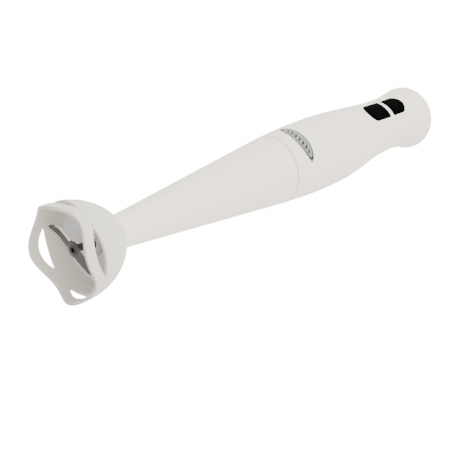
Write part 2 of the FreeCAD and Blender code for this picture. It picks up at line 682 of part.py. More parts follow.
vent = pocket(cap, vent_sketch, "cap_wall * 3")
around(cap, vent, "vent_count")
kept.append(cap)

GLAND_START = "(%s - gland_length)" % LENGTH
kept.append(turned("cord_gland", [
    (LENGTH, "inlet_radius"),
    (LENGTH, "gland_flange - cap_dome"),
    (CAP_FACE + " + seat_gap", "gland_flange"),
    (CAP_FACE + " + seat_gap", "gland_radius"),
    (CAP_ROOF + " - seat_gap", "gland_radius"),
    (CAP_ROOF + " - seat_gap", "gland_flange"),
    (CAP_ROOF + " - cap_wall / 2", "gland_flange"),
    (CAP_ROOF + " - cap_wall / 2", "gland_radius"),
    (GLAND_START, "gland_radius - cap_dome"),
    (GLAND_START, "inlet_radius"),
], "bulb_shift"))

# The clamp bar that holds the cord inside the cap, on the two posts.
CLAMP_AT = "(%s - post_length - clamp_thick - seat_gap)" % CAP_ROOF
clamp = new_body("cord_clamp", "bulb_shift")
clamp_sketch = new_sketch(clamp, "YZ_Plane", CLAMP_AT)
draw(clamp_sketch, rectangle("-(post_spread + post_radius)", "post_spread + post_radius",
                             "-clamp_half_width", "clamp_half_width"))
pad(clamp, clamp_sketch, "clamp_thick")
for across, radius in (("0", "inlet_radius"), ("post_spread", "screw_radius + seat_gap"),
                       ("-post_spread", "screw_radius + seat_gap")):
    drill(clamp, "%s - clamp_thick" % CLAMP_AT, "clamp_thick * 3", "0", radius, across=across)
kept.append(clamp)
kept.append(screws("clamp_screws", [(CLAMP_AT, side, "bulb_shift")
                                    for side in ("post_spread", "-post_spread")],
                   (1, 0, 0), "clamp_thick + clamp_screw_bite"))

# ---------------------------------------------------------------- motor unit: bayonet socket

SOCKET_TOP = "(leg_length + socket_length)"
RING_OUT = "(seam_radius - housing_wall - seat_gap)"
SOCKET_BORE = "(spigot_radius + moving_gap)"
GROOVE_OUT = "(lug_radius + moving_gap)"
CUP_HOLE = "(cup_radius + moving_gap * 3)"
socket = turned("socket_ring", [
    (HOUSING_START, SOCKET_BORE),
    (HOUSING_START, RING_OUT),
    (SOCKET_TOP, RING_OUT),
    (SOCKET_TOP, CUP_HOLE),
    ("%s + seam_gap * 2" % SPIGOT_TOP, CUP_HOLE),
    ("%s + seam_gap * 2" % SPIGOT_TOP, SOCKET_BORE),
])
locked = sector(socket, "PartDesign::Groove",
                ring("%s - moving_gap" % LUG_LOW, "%s + moving_gap" % LUG_HIGH,
                     "%s - moving_gap" % SOCKET_BORE, GROOVE_OUT),
                "lug_angle + unlock_angle + 2 * lug_side_gap", number("unlock_angle") / 2)
around(socket, locked, "lug_count")
entry = sector(socket, "PartDesign::Groove",
               ring("%s - seam_gap" % HOUSING_START, "%s + moving_gap" % LUG_HIGH,
                    "%s - moving_gap" % SOCKET_BORE, GROOVE_OUT),
               "lug_angle + 2 * lug_side_gap", number("unlock_angle"))
around(socket, entry, "lug_count")
RING_SCREW_SIDE = "((%s + %s) / 2 * sin(45))" % (CUP_HOLE, SPIGOT_BORE)
drill(socket, SPIGOT_TOP, "socket_length", RING_SCREW_SIDE, "screw_radius + seat_gap", "4",
      RING_SCREW_SIDE)
kept.append(socket)
RING_SEAT = "(%s + seam_gap * 2)" % SPIGOT_TOP
kept.append(screws("ring_screws", [(RING_SEAT, turn_y + RING_SCREW_SIDE, turn_z + RING_SCREW_SIDE)
                                   for turn_y in ("", "-") for turn_z in ("", "-")],
                   (1, 0, 0), "%s + chassis_web - %s" % (CHASSIS_START, RING_SEAT)))

# ---------------------------------------------------------------- motor unit: motor

SHAFT_HOLE = "(motor_shaft_radius + seat_gap)"
CUP_START = "(leg_length + cup_start)"
CUP_END = "(leg_length + cup_start + cup_length)"
MOTOR_SHAFT_START = "(%s + moving_gap * 3)" % JAW_END
UPPER_BEARING = "(leg_length + upper_bearing_at)"
LOWER_BEARING = "(leg_length + lower_bearing_at)"
kept.append(turned("motor_shaft", [
    (MOTOR_SHAFT_START, "motor_shaft_radius"),
    ("%s + bearing_length + seam_gap" % UPPER_BEARING, "motor_shaft_radius"),
    ("%s + bearing_length + seam_gap" % UPPER_BEARING, "0"),
    (MOTOR_SHAFT_START, "0"),
]))

# The driving half of the jaw coupling, a moulded cup that takes the four wings.
JAW_PLAY = "moving_gap"
cup = turned("drive_coupling", [
    (CUP_START, "jaw_hub_radius + " + JAW_PLAY),
    (CUP_START, "cup_radius"),
    (CUP_END, "cup_radius"),
    (CUP_END, SHAFT_HOLE),
    ("%s + moving_gap" % JAW_END, SHAFT_HOLE),
    ("%s + moving_gap" % JAW_END, "jaw_hub_radius + " + JAW_PLAY),
])
wing_slot = new_sketch(cup, "YZ_Plane", "%s - moving_gap" % CUP_START)
draw(wing_slot, rectangle("-(jaw_half_width + %s)" % JAW_PLAY, "jaw_half_width + " + JAW_PLAY,
                          "0", "jaw_reach + " + JAW_PLAY))
wing_cut = pocket(cup, wing_slot, "%s + moving_gap * 2 - %s" % (JAW_END, CUP_START))
around(cup, wing_cut, "4")
kept.append(cup)

for word, start in (("lower", LOWER_BEARING), ("upper", UPPER_BEARING)):
    plate = "(%s + (bearing_length - bracket_thick) / 2)" % start
    end = "%s + bearing_length" % start
    bracket = turned(word + "_motor_bracket", [
        (start, "bearing_radius"), (start, "bracket_hub"), (plate, "bracket_hub"),
        (plate, "bracket_radius"), (plate + " + bracket_thick", "bracket_radius"),
        (plate + " + bracket_thick", "bracket_hub"), (end, "bracket_hub"),
        (end, "bearing_radius"),
    ])
    drill(bracket, start, "bearing_length", "bolt_circle", "bolt_radius + seat_gap", "2")
    kept.append(bracket)
    kept.append(turned(word + "_bearing", ring(start, end, "motor_shaft_radius + running_gap",
                                               "bearing_radius - seat_gap")))
    kept.append(turned(word + "_motor_mount", ring(
        "%s - (mount_length - bracket_thick) / 2" % plate,
        "%s + (mount_length + bracket_thick) / 2" % plate,
        "bracket_radius + seat_gap", "chassis_radius - chassis_wall - seat_gap")))

# The laminated field core: a yoke ring and two poles, above and below the rotor.
YOKE_IN = "(core_radius - core_yoke)"
SHOE_OUT = "(bore_radius + shoe_thick)"
core = turned("stator_core", ring(STACK_START, STACK_END, YOKE_IN, "core_radius"))
pole_sketch = new_sketch(core, "YZ_Plane", STACK_START)
draw(pole_sketch, rectangle("-arm_half_width", "arm_half_width",
                            "bore_radius + shoe_thick / 2", YOKE_IN + " + core_yoke / 4"))
around(core, pad(core, pole_sketch, "stack_length"), "2")
shoe = sector(core, "PartDesign::Revolution",
              ring(STACK_START, STACK_END, "bore_radius", SHOE_OUT), "shoe_angle")
around(core, shoe, "2")
drill(core, "%s - 1" % STACK_START, "stack_length + 2", "bolt_circle", "bolt_radius + seat_gap",
      "2")
kept.append(core)

# Saddle coils, one wound about each pole.
COIL_IN = "%s + coil_gap" % SHOE_OUT
COIL_OUT = "(bolt_circle - bolt_radius - coil_gap)"
coils = new_body("field_coils")
saddle = sector(coils, "PartDesign::Revolution",
                ring("%s - coil_overhang" % STACK_START, "%s + coil_overhang" % STACK_END,
                     COIL_IN, COIL_OUT), "shoe_angle")
around(coils, saddle, "2")
window_sketch = new_sketch(coils, "XY_Plane")
draw(window_sketch, rectangle("%s - coil_gap" % STACK_START, "%s + coil_gap" % STACK_END,
                              "-(arm_half_width + coil_gap)", "arm_half_width + coil_gap"))
pocket(coils, window_sketch, "core_radius * 2", midplane=True)
kept.append(coils)

bolts = []
BOLT_START = "(%s + (bearing_length - bracket_thick) / 2)" % LOWER_BEARING
BOLT_LONG = "upper_bearing_at - lower_bearing_at + bracket_thick"
for up in ("bolt_circle", "-bolt_circle"):
    bolts.append(cylinder("bolt", "bolt_radius", BOLT_LONG, BOLT_START, "0", up))
    bolts.append(cylinder("bolt_top", "bolt_head", "bolt_radius", BOLT_START, "0", up, (-1, 0, 0)))
kept.append(fuse("motor_bolts", bolts))

# The wound rotor: slotted core, windings that fill the slots, and the commutator.
rotor = turned("rotor_core", ring(STACK_START, STACK_END, SHAFT_HOLE, "rotor_radius"))
notch_sketch = new_sketch(rotor, "YZ_Plane", STACK_START + " - 1")
draw(notch_sketch, rectangle("-slot_half_width", "slot_half_width", "slot_floor",
                             "rotor_radius * 1.2"))
around(rotor, pocket(rotor, notch_sketch, "stack_length + 2"), "rotor_slots")
kept.append(rotor)

WIND_LOW = "(%s - winding_overhang)" % STACK_START
WIND_HIGH = "(%s + winding_overhang)" % STACK_END
windings = turned("rotor_windings", [
    (WIND_LOW, "winding_bore"), (WIND_LOW, "winding_radius - winding_round"),
    ("%s + winding_round" % WIND_LOW, "winding_radius"),
    (STACK_START + " - seat_gap", "winding_radius"),
    (STACK_START + " - seat_gap", "winding_bore"),
])
far_sketch = new_sketch(windings, "XZ_Plane")
draw(far_sketch, [
    (STACK_END + " + seat_gap", "winding_bore"), (STACK_END + " + seat_gap", "winding_radius"),
    ("%s - winding_round" % WIND_HIGH, "winding_radius"),
    (WIND_HIGH, "winding_radius - winding_round"), (WIND_HIGH, "winding_bore"),
])
far_turned = windings.newObject("PartDesign::Revolution", "far_windings")
far_turned.Profile = far_sketch
far_turned.ReferenceAxis = (far_sketch, ["H_Axis"])
far_turned.Angle = 360.0
bar_sketch = new_sketch(windings, "YZ_Plane", WIND_LOW + " + winding_overhang / 2")
draw(bar_sketch, rectangle("-(slot_half_width - coil_gap)", "slot_half_width - coil_gap",
                           "slot_floor + coil_gap", "winding_radius - coil_gap"))
around(windings, pad(windings, bar_sketch, "stack_length + winding_overhang"), "rotor_slots")
kept.append(windings)

COMM_START = "(leg_length + commutator_at)"
COMM_END = "(%s + commutator_length)" % COMM_START
commutator = turned("commutator", [
    (COMM_START, SHAFT_HOLE), (COMM_START, "riser_radius"),
    ("%s + riser_length" % COMM_START, "riser_radius"),
    ("%s + riser_length" % COMM_START, "commutator_radius"),
    (COMM_END, "commutator_radius"), (COMM_END, SHAFT_HOLE),
])
groove_sketch = new_sketch(commutator, "YZ_Plane", "%s - 1" % COMM_START)
draw(groove_sketch, rectangle("-coil_gap", "coil_gap", "commutator_radius - coil_gap * 4",
                              "riser_radius + coil_gap"))
around(commutator, pocket(commutator, groove_sketch, "commutator_length + 2"), "rotor_slots")
kept.append(commutator)

# The cooling fan: a hub, a back plate and straight blades.
FAN_START = "(leg_length + fan_at)"
FAN_END = "(%s + fan_length)" % FAN_START
FAN_RADIUS = "(bolt_circle - bolt_radius - 2 * moving_gap)"
fan = turned("cooling_fan", [
    (FAN_START, SHAFT_HOLE), (FAN_START, "fan_hub"),
    ("%s - fan_plate" % FAN_END, "fan_hub"), ("%s - fan_plate" % FAN_END, FAN_RADIUS),
    (FAN_END, FAN_RADIUS), (FAN_END, SHAFT_HOLE),
])
vane_sketch = new_sketch(fan, "YZ_Plane", FAN_START)
draw(vane_sketch, rectangle("-fan_blade_half", "fan_blade_half", "fan_hub - wing_root",
                            FAN_RADIUS + " - coil_gap"))
around(fan, pad(fan, vane_sketch, "fan_length - fan_plate / 2"), "fan_blades")
kept.append(fan)

# Brushes, left and right of the commutator, in brass holders with a spring behind each.
BRUSH_AT = "(%s + (commutator_length + riser_length) / 2)" % COMM_START
FACE = "(commutator_radius + moving_gap)"
HOLDER_FOOT = "(%s + (bearing_length - bracket_thick) / 2)" % UPPER_BEARING
holders, brushes, springs = [], [], []
for side in (1, -1):
    low = "%s + holder_wall * 2" % FACE if side > 0 else "-holder_out"
    slot_low = "%s" % FACE if side > 0 else "-(holder_out - holder_wall)"
    brush_low = FACE if side > 0 else "-(%s + brush_length)" % FACE
    outer = block("holder_outer", "%s - brush_width / 2 - holder_wall" % BRUSH_AT, low,
                  "-(brush_height / 2 + holder_wall)",
                  "%s - %s + brush_width / 2 + holder_wall" % (HOLDER_FOOT, BRUSH_AT),
                  "holder_out - %s - holder_wall * 2" % FACE, "brush_height + holder_wall * 2")
    hollow = block("holder_hollow", "%s - brush_width / 2 - seat_gap" % BRUSH_AT, slot_low,
                   "-(brush_height / 2 + seat_gap)", "brush_width + seat_gap * 2",
                   "holder_out - holder_wall - %s" % FACE, "brush_height + seat_gap * 2")
    holders.append(cut("brush_holder", outer, [hollow]))
    brushes.append(block("brush", "%s - brush_width / 2" % BRUSH_AT, brush_low,
                         "-brush_height / 2", "brush_width", "brush_length", "brush_height"))
    turn = "" if side > 0 else "-"
    springs.append(cylinder("brush_spring", "spring_radius",
                            "holder_out - holder_wall - %s - brush_length - seat_gap * 2" % FACE,
                            BRUSH_AT, "%s(%s + brush_length + seat_gap)" % (turn, FACE), "0",
                            (0, side, 0)))
kept += [fuse("brush_holders", holders), fuse("carbon_brushes", brushes),
         fuse("brush_springs", springs)]

# ---------------------------------------------------------------- motor unit: chassis and switches

CHASSIS_IN = "(chassis_radius - chassis_wall)"
for word, side in (("left", 1), ("right", -1)):
    half = new_body("chassis_" + word)
    sector(half, "PartDesign::Revolution", [
        (CHASSIS_START, "chassis_radius"), (CHASSIS_END, "chassis_radius"),
        (CHASSIS_END, "bracket_hub + moving_gap"),
        ("%s - chassis_end_wall" % CHASSIS_END, "bracket_hub + moving_gap"),
        ("%s - chassis_end_wall" % CHASSIS_END, CHASSIS_IN),
        ("%s + chassis_web" % CHASSIS_START, CHASSIS_IN),
        ("%s + chassis_web" % CHASSIS_START, CUP_HOLE), (CHASSIS_START, CUP_HOLE),
    ], "180 - chassis_parting_angle", -90.0 * side)
    rail_sketch = new_sketch(half, "YZ_Plane", "%s - chassis_end_wall / 2" % CHASSIS_END)
    inner, outer = ("rail_inner", "rail_outer") if side > 0 else ("-rail_outer", "-rail_inner")
    draw(rail_sketch, rectangle(inner, outer, "rail_low", RAIL_TOP))
    pad(half, rail_sketch, "%s + board_length - %s + chassis_end_wall / 2"
        % (BOARD_START, CHASSIS_END))
    for turn_z in ("", "-"):
        drill(half, "%s - chassis_web" % CHASSIS_START, "chassis_web * 3",
              turn_z + RING_SCREW_SIDE, "screw_radius + seat_gap",
              across=("" if side > 0 else "-") + RING_SCREW_SIDE)
    kept.append(half)

board = new_body("switch_board")
board_sketch = new_sketch(board, "XY_Plane", RAIL_TOP)
draw(board_sketch, rectangle(BOARD_START, "%s + board_length" % BOARD_START,
                             "-board_half_width", "board_half_width"))
pad(board, board_sketch, "board_thick")
RAIL_MIDDLE = "((rail_inner + board_half_width) / 2)"
board_holes = [("%s + %s" % (BOARD_START, along), side + RAIL_MIDDLE)
               for along in ("screw_head * 1.5", "board_length - screw_head * 1.5")
               for side in ("", "-")]
for at, side in board_holes:
    hole_sketch = new_sketch(board, "XY_Plane", RAIL_TOP + " - board_thick")
    draw_circle(hole_sketch, at, side, "screw_radius / 2 + seat_gap")
    pocket(board, hole_sketch, "board_thick * 3")
kept.append(board)
pins = []
for at, side in board_holes:
    pins.append(cylinder("board_pin", "screw_radius / 2", "board_thick", at, side, RAIL_TOP,
                         (0, 0, 1)))
    pins.append(cylinder("board_pin_head", "pin_head", "board_thick / 2", at, side,
                         BOARD_TOP, (0, 0, 1)))
kept.append(fuse("board_pins", pins))

# A microswitch under each button, and a return spring beside it.
LOW_MIDDLE = "((%s + %s) / 2 + pill_low_bow / 3)" % (PILL_LOW, BAR_LOW)
TURBO_MIDDLE = "((%s + %s) / 2 - pill_high_bow / 3)" % (PILL_HIGH, BAR_HIGH)
SPRING_SIDE = "(switch_wide / 2 + button_spring_radius + coil_gap * 3)"
for word, middle in (("low", LOW_MIDDLE), ("turbo", TURBO_MIDDLE)):
    switch_top = "(%s + switch_tall)" % BOARD_TOP
    kept.append(fuse(word + "_switch", [
        block("switch_case", "%s - switch_long / 2" % middle, "-switch_wide / 2", BOARD_TOP,
              "switch_long", "switch_wide", "switch_tall"),
        cylinder("plunger", "plunger_radius", "%s - %s" % (PLUNGER_TOP, switch_top), middle, "0",
                 switch_top, (0, 0, 1)),
    ]))
    coil_long = "%s - %s - seat_gap" % (FLANGE_LOW, BOARD_TOP)
    coils_pair = []
    for side in ("", "-"):
        place = side + SPRING_SIDE
        wall = cylinder("spring_outside", "button_spring_radius", coil_long, middle, place,
                        BOARD_TOP, (0, 0, 1))
        bore = cylinder("spring_bore", "button_spring_radius - button_spring_wire", coil_long,
                        middle, place, BOARD_TOP, (0, 0, 1))
        coils_pair.append(cut("button_spring", wall, [bore]))
    kept.append(fuse(word + "_button_springs", coils_pair))

# The buttons: the handle's own curve on top, straight flanks, and a flange under the wall.
for word, outline in (("low", low_outline), ("turbo", turbo_outline)):
    top = doc.addObject("Part::Common", word + "_button_top")
    top.Base = prism(word + "_button_column", outline(), FLANGE_LOW, "bell_radius")
    top.Tool = handle_form(word + "_button_form", "button_proud")
    flange = prism(word + "_button_flange", outline("button_flange"), FLANGE_LOW, "flange_thick")
    kept.append(fuse(word + "_button", [top, flange]))

# The suppressor capacitor and the half-speed diode hang under the board, between the rails.
kept.append(block("capacitor", "%s + cap_to_board_end" % BOARD_START, "-cap_wide / 2",
                  RAIL_TOP + " - cap_tall - seat_gap", "cap_long", "cap_wide", "cap_tall"))
kept[-1].Label = "capacitor"
kept.append(cylinder("diode", "diode_radius", "diode_long", "%s + diode_to_board_end" % BOARD_START,
                     "0", RAIL_TOP + " - diode_radius - seat_gap"))
kept[-1].Label = "diode"

# ---------------------------------------------------------------- recompute, check and write

doc.recompute()
faults = []
for item in doc.Objects:
    if "Invalid" in item.State or "Error" in item.State:
        faults.append("%s (%s): %s" % (item.Name, item.Label, item.State))
for piece in kept:
    if piece.Shape.isNull() or not piece.Shape.isValid():
        faults.append("%s has no valid shape" % piece.Label)
if faults:
    raise RuntimeError("\n".join(faults))
for piece in kept:
    piece.Shape.exportStep("parts/%s.step" % piece.Label)
print(len(kept), "pieces written")
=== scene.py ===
import json
import math

import bmesh
import bpy
from mathutils import Matrix, Vector


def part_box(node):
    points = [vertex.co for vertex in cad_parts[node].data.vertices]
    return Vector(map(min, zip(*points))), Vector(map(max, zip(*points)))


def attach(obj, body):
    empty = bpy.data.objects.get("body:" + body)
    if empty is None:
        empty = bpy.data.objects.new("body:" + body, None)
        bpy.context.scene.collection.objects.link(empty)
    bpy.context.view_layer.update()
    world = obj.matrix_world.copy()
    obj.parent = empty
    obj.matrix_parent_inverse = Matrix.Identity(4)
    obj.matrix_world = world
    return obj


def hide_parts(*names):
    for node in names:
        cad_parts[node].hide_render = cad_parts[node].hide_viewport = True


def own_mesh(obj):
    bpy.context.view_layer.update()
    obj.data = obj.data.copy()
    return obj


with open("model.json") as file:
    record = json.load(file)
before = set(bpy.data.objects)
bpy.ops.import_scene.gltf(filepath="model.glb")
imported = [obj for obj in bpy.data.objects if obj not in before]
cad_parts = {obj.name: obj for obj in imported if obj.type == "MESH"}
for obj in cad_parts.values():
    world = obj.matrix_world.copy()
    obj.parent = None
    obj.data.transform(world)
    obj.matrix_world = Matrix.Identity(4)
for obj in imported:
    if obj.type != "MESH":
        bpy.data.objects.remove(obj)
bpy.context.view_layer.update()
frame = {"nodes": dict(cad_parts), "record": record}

mm = 0.001
weld = 0.001 * mm  # points closer than this are one point

# ---------------------------------------------------------------- camera
# The blender lies on its back, bell towards the viewer's left and the buttons up.
# The camera stands off the bell end, above it, and is rolled so that the handle rises to the right.
bell_low, bell_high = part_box("bell_guard")
rim_x = bell_low.x
axis_z = (bell_low.z + bell_high.z) / 2

aim = Vector((rim_x + 120.1 * mm, -31.3 * mm, axis_z))
camera_distance = 504.7 * mm
camera_azimuth, camera_height, camera_roll = (math.radians(a) for a in (205.8, 41.745, 29.256))
towards_camera = Vector((math.cos(camera_azimuth) * math.cos(camera_height),
                         math.sin(camera_azimuth) * math.cos(camera_height),
                         math.sin(camera_height)))
camera_data = bpy.data.cameras.new("camera")
camera_data.sensor_width = 36.0
camera_data.lens = 58.41
camera_data.clip_start = 0.01
camera = bpy.data.objects.new("camera", camera_data)
upright = towards_camera.to_track_quat("Z", "Y").to_matrix().to_4x4()
camera.matrix_world = (Matrix.Translation(aim + towards_camera * camera_distance) @ upright
                       @ Matrix.Rotation(camera_roll, 4, "Z"))
bpy.context.scene.collection.objects.link(camera)
bpy.context.scene.camera = camera

# ---------------------------------------------------------------- table and light
# A plain white table that glows evenly, as a light table does, under a white tent.
# The tent is a little cooler overhead and warmer at the front, and dimmer beyond the bell.
# A broad soft lamp stands at the front, and a weaker one on the far side.


def add_node(tree, kind, inputs=None, **settings):
    """One node; an input is either a value or another node's output socket."""
    node = tree.nodes.new(kind)
    for word, value in settings.items():
        setattr(node, word, value)
    for socket, value in (inputs or {}).items():
        if isinstance(value, bpy.types.NodeSocket):
            tree.links.new(value, node.inputs[socket])
        else:
            node.inputs[socket].default_value = value
    return node


table_glow = bpy.data.materials.new("table_glow")
table_glow.use_nodes = True
tree = table_glow.node_tree
tree.nodes.clear()
glow = add_node(tree, "ShaderNodeEmission", {"Color": (1.0, 1.0, 1.0, 1.0), "Strength": 16.0})
add_node(tree, "ShaderNodeOutputMaterial", {"Surface": glow.outputs[0]})
table_size, table_drop = 12.0, 0.5 * mm
table_mesh = bpy.data.meshes.new("table")
corner = table_size / 2
table_mesh.from_pydata([(-corner, -corner, 0), (corner, -corner, 0), (corner, corner, 0),
                        (-corner, corner, 0)], [], [(0, 1, 2, 3)])
table = bpy.data.objects.new("table", table_mesh)
table.location.z = -table_drop
table_mesh.materials.append(table_glow)
table.visible_diffuse = table.visible_glossy = table.visible_transmission = False
table.visible_shadow = False
bpy.context.scene.collection.objects.link(table)

tent = bpy.data.worlds.new("tent")
tent.use_nodes = True
bpy.context.scene.world = tent
tree = tent.node_tree
tree.nodes.clear()
where = add_node(tree, "ShaderNodeTexCoord")
split = add_node(tree, "ShaderNodeSeparateXYZ", {0: where.outputs["Generated"]})
rise = add_node(tree, "ShaderNodeMapRange", {0: split.outputs["Z"], 1: -1.0, 2: 1.0})
shade = add_node(tree, "ShaderNodeValToRGB", {0: rise.outputs[0]})
shade.color_ramp.elements[0].color = (0.80, 0.77, 0.73, 1.0)
shade.color_ramp.elements[1].color = (1.0, 0.985, 0.97, 1.0)
middle = shade.color_ramp.elements.new(0.45)
middle.color = (0.90, 0.86, 0.80, 1.0)
forward = add_node(tree, "ShaderNodeMapRange", {0: split.outputs["X"], 1: -1.0, 2: 0.5,
                                                3: 1.0, 4: 3.2})
sky = add_node(tree, "ShaderNodeBackground", {"Color": shade.outputs[0],
                                              "Strength": forward.outputs[0]})
add_node(tree, "ShaderNodeOutputWorld", {"Surface": sky.outputs[0]})


def soft_lamp(name, azimuth, height, distance, width, power, colour):
    """A square soft lamp that faces the middle of the blender."""
    lamp_data = bpy.data.lights.new(name, "AREA")
    lamp_data.size = width
    lamp_data.energy = power
    lamp_data.color = colour
    lamp = bpy.data.objects.new(name, lamp_data)
    turn, lift = math.radians(azimuth), math.radians(height)
    out = Vector((math.cos(turn) * math.cos(lift), math.sin(turn) * math.cos(lift), math.sin(lift)))
    lamp.matrix_world = (Matrix.Translation(Vector((0, 0, axis_z)) + out * distance)
                         @ out.to_track_quat("Z", "Y").to_matrix().to_4x4())
    bpy.context.scene.collection.objects.link(lamp)


soft_lamp("front_lamp", 250, 35, 1.2, 0.9, 12.0, (1.0, 0.97, 0.92))
soft_lamp("far_lamp", 60, 60, 1.4, 0.9, 6.0, (0.94, 0.97, 1.0))

# ---------------------------------------------------------------- bell guard
# One moulding of tough food-grade plastic: a skirt with a waved rim, four crescent slots that let
# the food in, a dome with a shallow ledge inside, and a boss for the bushing and the seal.
# It goes on the leg tube as a spigot; its rim and slots have soft rounded edges.
bell_radius = (bell_high.z - bell_low.z) / 2
bell_wall = 2.4 * mm
rim_wave = 5.8 * mm
slot_half = math.radians(28.8)
slot_tip, slot_rim_side, slot_dome_side = 11.9 * mm, 6.8 * mm, 12.9 * mm
dome_start, neck_at, neck_radius = 7.0 * mm, 44.0 * mm, 10.7 * mm
spigot_radius, spigot_depth = 8.68 * mm, 12.0 * mm
bushing_radius, seal_radius, seal_depth = 5.0 * mm, 6.5 * mm, 6.0 * mm
ledge_at, ledge_step = 25.2 * mm, 1.2 * mm
boss_low, boss_radius = 26.0 * mm, 8.6 * mm
dome_fall = bell_radius - neck_radius
dome_arc = ((neck_at - dome_start) ** 2 + dome_fall ** 2) / (2 * dome_fall)
dome_low = slot_dome_side + 3.0 * mm  # where the skirt's bands give way to plain rings


def new_finish(name, roughness, **numbers):
    """A material with one Principled shader. Plain numbers go straight on the shader's sockets."""
    finish = bpy.data.materials.new(name)
    finish.use_nodes = True
    shader = finish.node_tree.nodes["Principled BSDF"]
    shader.inputs["Roughness"].default_value = roughness
    for word, value in numbers.items():
        shader.inputs[word.replace("_", " ").title().replace("Ior", "IOR")].default_value = value
    return finish, finish.node_tree, shader


def maths(tree, operation, first, second=None):
    """The output of a node that does one sum on two values, or on one."""
    given = {0: first} if second is None else {0: first, 1: second}
    return add_node(tree, "ShaderNodeMath", given, operation=operation).outputs[0]


def mix_colours(tree, factor, first, second):
    """The output of a node that runs from the first colour to the second."""
    mix = tree.nodes.new("ShaderNodeMix")
    mix.data_type = "RGBA"
    tree.links.new(factor, mix.inputs["Factor"])
    mix.inputs[6].default_value = (*first, 1.0)
    mix.inputs[7].default_value = (*second, 1.0)
    return mix.outputs[2]


def moulded_plastic(name, colour, shadow_colour, roughness, grain=0.05, **numbers):
    """Injection-moulded plastic: a slow drift of tone, an uneven satin and a very fine grain."""
    finish, tree, shader = new_finish(name, roughness, **numbers)
    place = add_node(tree, "ShaderNodeTexCoord").outputs["Object"]
    drift = add_node(tree, "ShaderNodeTexNoise", {"Vector": place, "Scale": 14.0, "Detail": 2.0})
    tone = mix_colours(tree, drift.outputs["Fac"], shadow_colour, colour)
    tree.links.new(tone, shader.inputs["Base Color"])
    handled = add_node(tree, "ShaderNodeTexNoise", {"Vector": place, "Scale": 90.0, "Detail": 4.0})
    satin = add_node(tree, "ShaderNodeMapRange", {0: handled.outputs["Fac"], 1: 0.3, 2: 0.7,
                                                  3: roughness - 0.04, 4: roughness + 0.05})
    tree.links.new(satin.outputs[0], shader.inputs["Roughness"])
    fine = add_node(tree, "ShaderNodeTexNoise", {"Vector": place, "Scale": 2600.0, "Detail": 2.0})
    bump = add_node(tree, "ShaderNodeBump", {"Strength": grain, "Distance": 0.05 * mm,
                                             "Height": fine.outputs["Fac"]})
    tree.links.new(bump.outputs[0], shader.inputs["Normal"])
    return finish


def at_station(station, angle, radius, lift=0.0):
    """A point by its distance from the rim, its angle from the top, and its radius."""
    return Vector((rim_x + station, radius * math.sin(angle),
                   axis_z + lift + radius * math.cos(angle)))


def skin(mesh, rows, closed=True):
    """Faces between neighbouring rows of points. A closed row joins its last point to its first."""
    laid = [[mesh.verts.new(point) for point in row] for row in rows]
    for low, high in zip(laid, laid[1:]):
        for index in range(len(low) if closed else len(low) - 1):
            after = (index + 1) % len(low)
            mesh.faces.new((low[index], low[after], high[after], high[index]))


def turned_rows(outline, columns, lift=0.0):
    """Rows of points round the axis, one for each (station, radius) of an outline."""
    return [[at_station(station, math.tau * column / columns, radius, lift)
             for column in range(columns)] for station, radius in outline]


def evenly(start, end, count):
    """Numbers from start to end in equal steps, both ends included."""
    return [start + (end - start) * step / count for step in range(count + 1)]


def make_piece(mesh, name, body, nodes, finish, edge=0.0, segments=3):
    """Close the mesh, give it its finish and its rounded edges, and put it on its body."""
    bmesh.ops.remove_doubles(mesh, verts=mesh.verts, dist=weld)
    bmesh.ops.dissolve_degenerate(mesh, edges=mesh.edges, dist=weld)
    bmesh.ops.recalc_face_normals(mesh, faces=mesh.faces)
    for face in mesh.faces:
        face.smooth = True
    data = bpy.data.meshes.new(name)
    mesh.to_mesh(data)
    mesh.free()
    data.materials.append(finish)
    piece = bpy.data.objects.new(name, data)
    bpy.context.scene.collection.objects.link(piece)
    if edge:
        rounding = piece.modifiers.new("rounded_edges", "BEVEL")
        rounding.width = edge
        rounding.segments = segments
        rounding.limit_method = "ANGLE"
        rounding.angle_limit = math.radians(35.0)
        rounding.harden_normals = True
        rounding.use_clamp_overlap = False
    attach(piece, body)
    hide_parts(*nodes)
    return piece


bell_angles = []
for quarter in range(4):
    start = quarter * math.pi / 2
    slot_start = math.pi / 4 - slot_half
    bell_angles += [start + a for a in evenly(0, slot_start, 8)[:-1]]
    bell_angles += [start + a for a in evenly(slot_start, math.pi / 2 - slot_start, 34)[:-1]]
    bell_angles += [start + a for a in evenly(math.pi / 2 - slot_start, math.pi / 2, 8)[:-1]]


def from_slot(angle):
    """The angle from the middle of the nearest slot."""
    return (angle % (math.pi / 2)) - math.pi / 4


def slot_edge(angle, middle):
    """A slot's edge: an arc from tip to tip through its own middle, and the tip's line outside."""
    half_width = bell_radius * math.sin(slot_half)
    across = bell_radius * math.sin(from_slot(angle))
    bulge = slot_tip - middle
    if abs(across) >= half_width:
        return slot_tip
    arc_radius = (half_width ** 2 + bulge ** 2) / (2 * abs(bulge))
    rise = math.sqrt(arc_radius ** 2 - across ** 2) - (arc_radius - abs(bulge))
    return slot_tip - math.copysign(rise, bulge)


def bell_row(share, low, high, inset):
    """One ring of the bell, at a share of the way between two edges that follow the angle."""
    ring = []
    for angle in bell_angles:
        station = low(angle) + (high(angle) - low(angle)) * share
        ring.append(at_station(station, angle, dome_radius(station, inset)))
    return ring


def dome_radius(station, inset):
    """The bell's radius: straight at the rim, then an arc of the dome, or one parallel to it."""
    along = max(station - dome_start, 0.0)
    return bell_radius - dome_arc + math.sqrt((dome_arc - inset) ** 2 - along ** 2)


def rim_edge(angle):
    return rim_wave / 2 * (1 + math.cos(4 * angle))


def rim_side(angle):
    return slot_edge(angle, slot_rim_side)


def dome_side(angle):
    return slot_edge(angle, slot_dome_side)


def dome_foot(angle):
    return dome_low


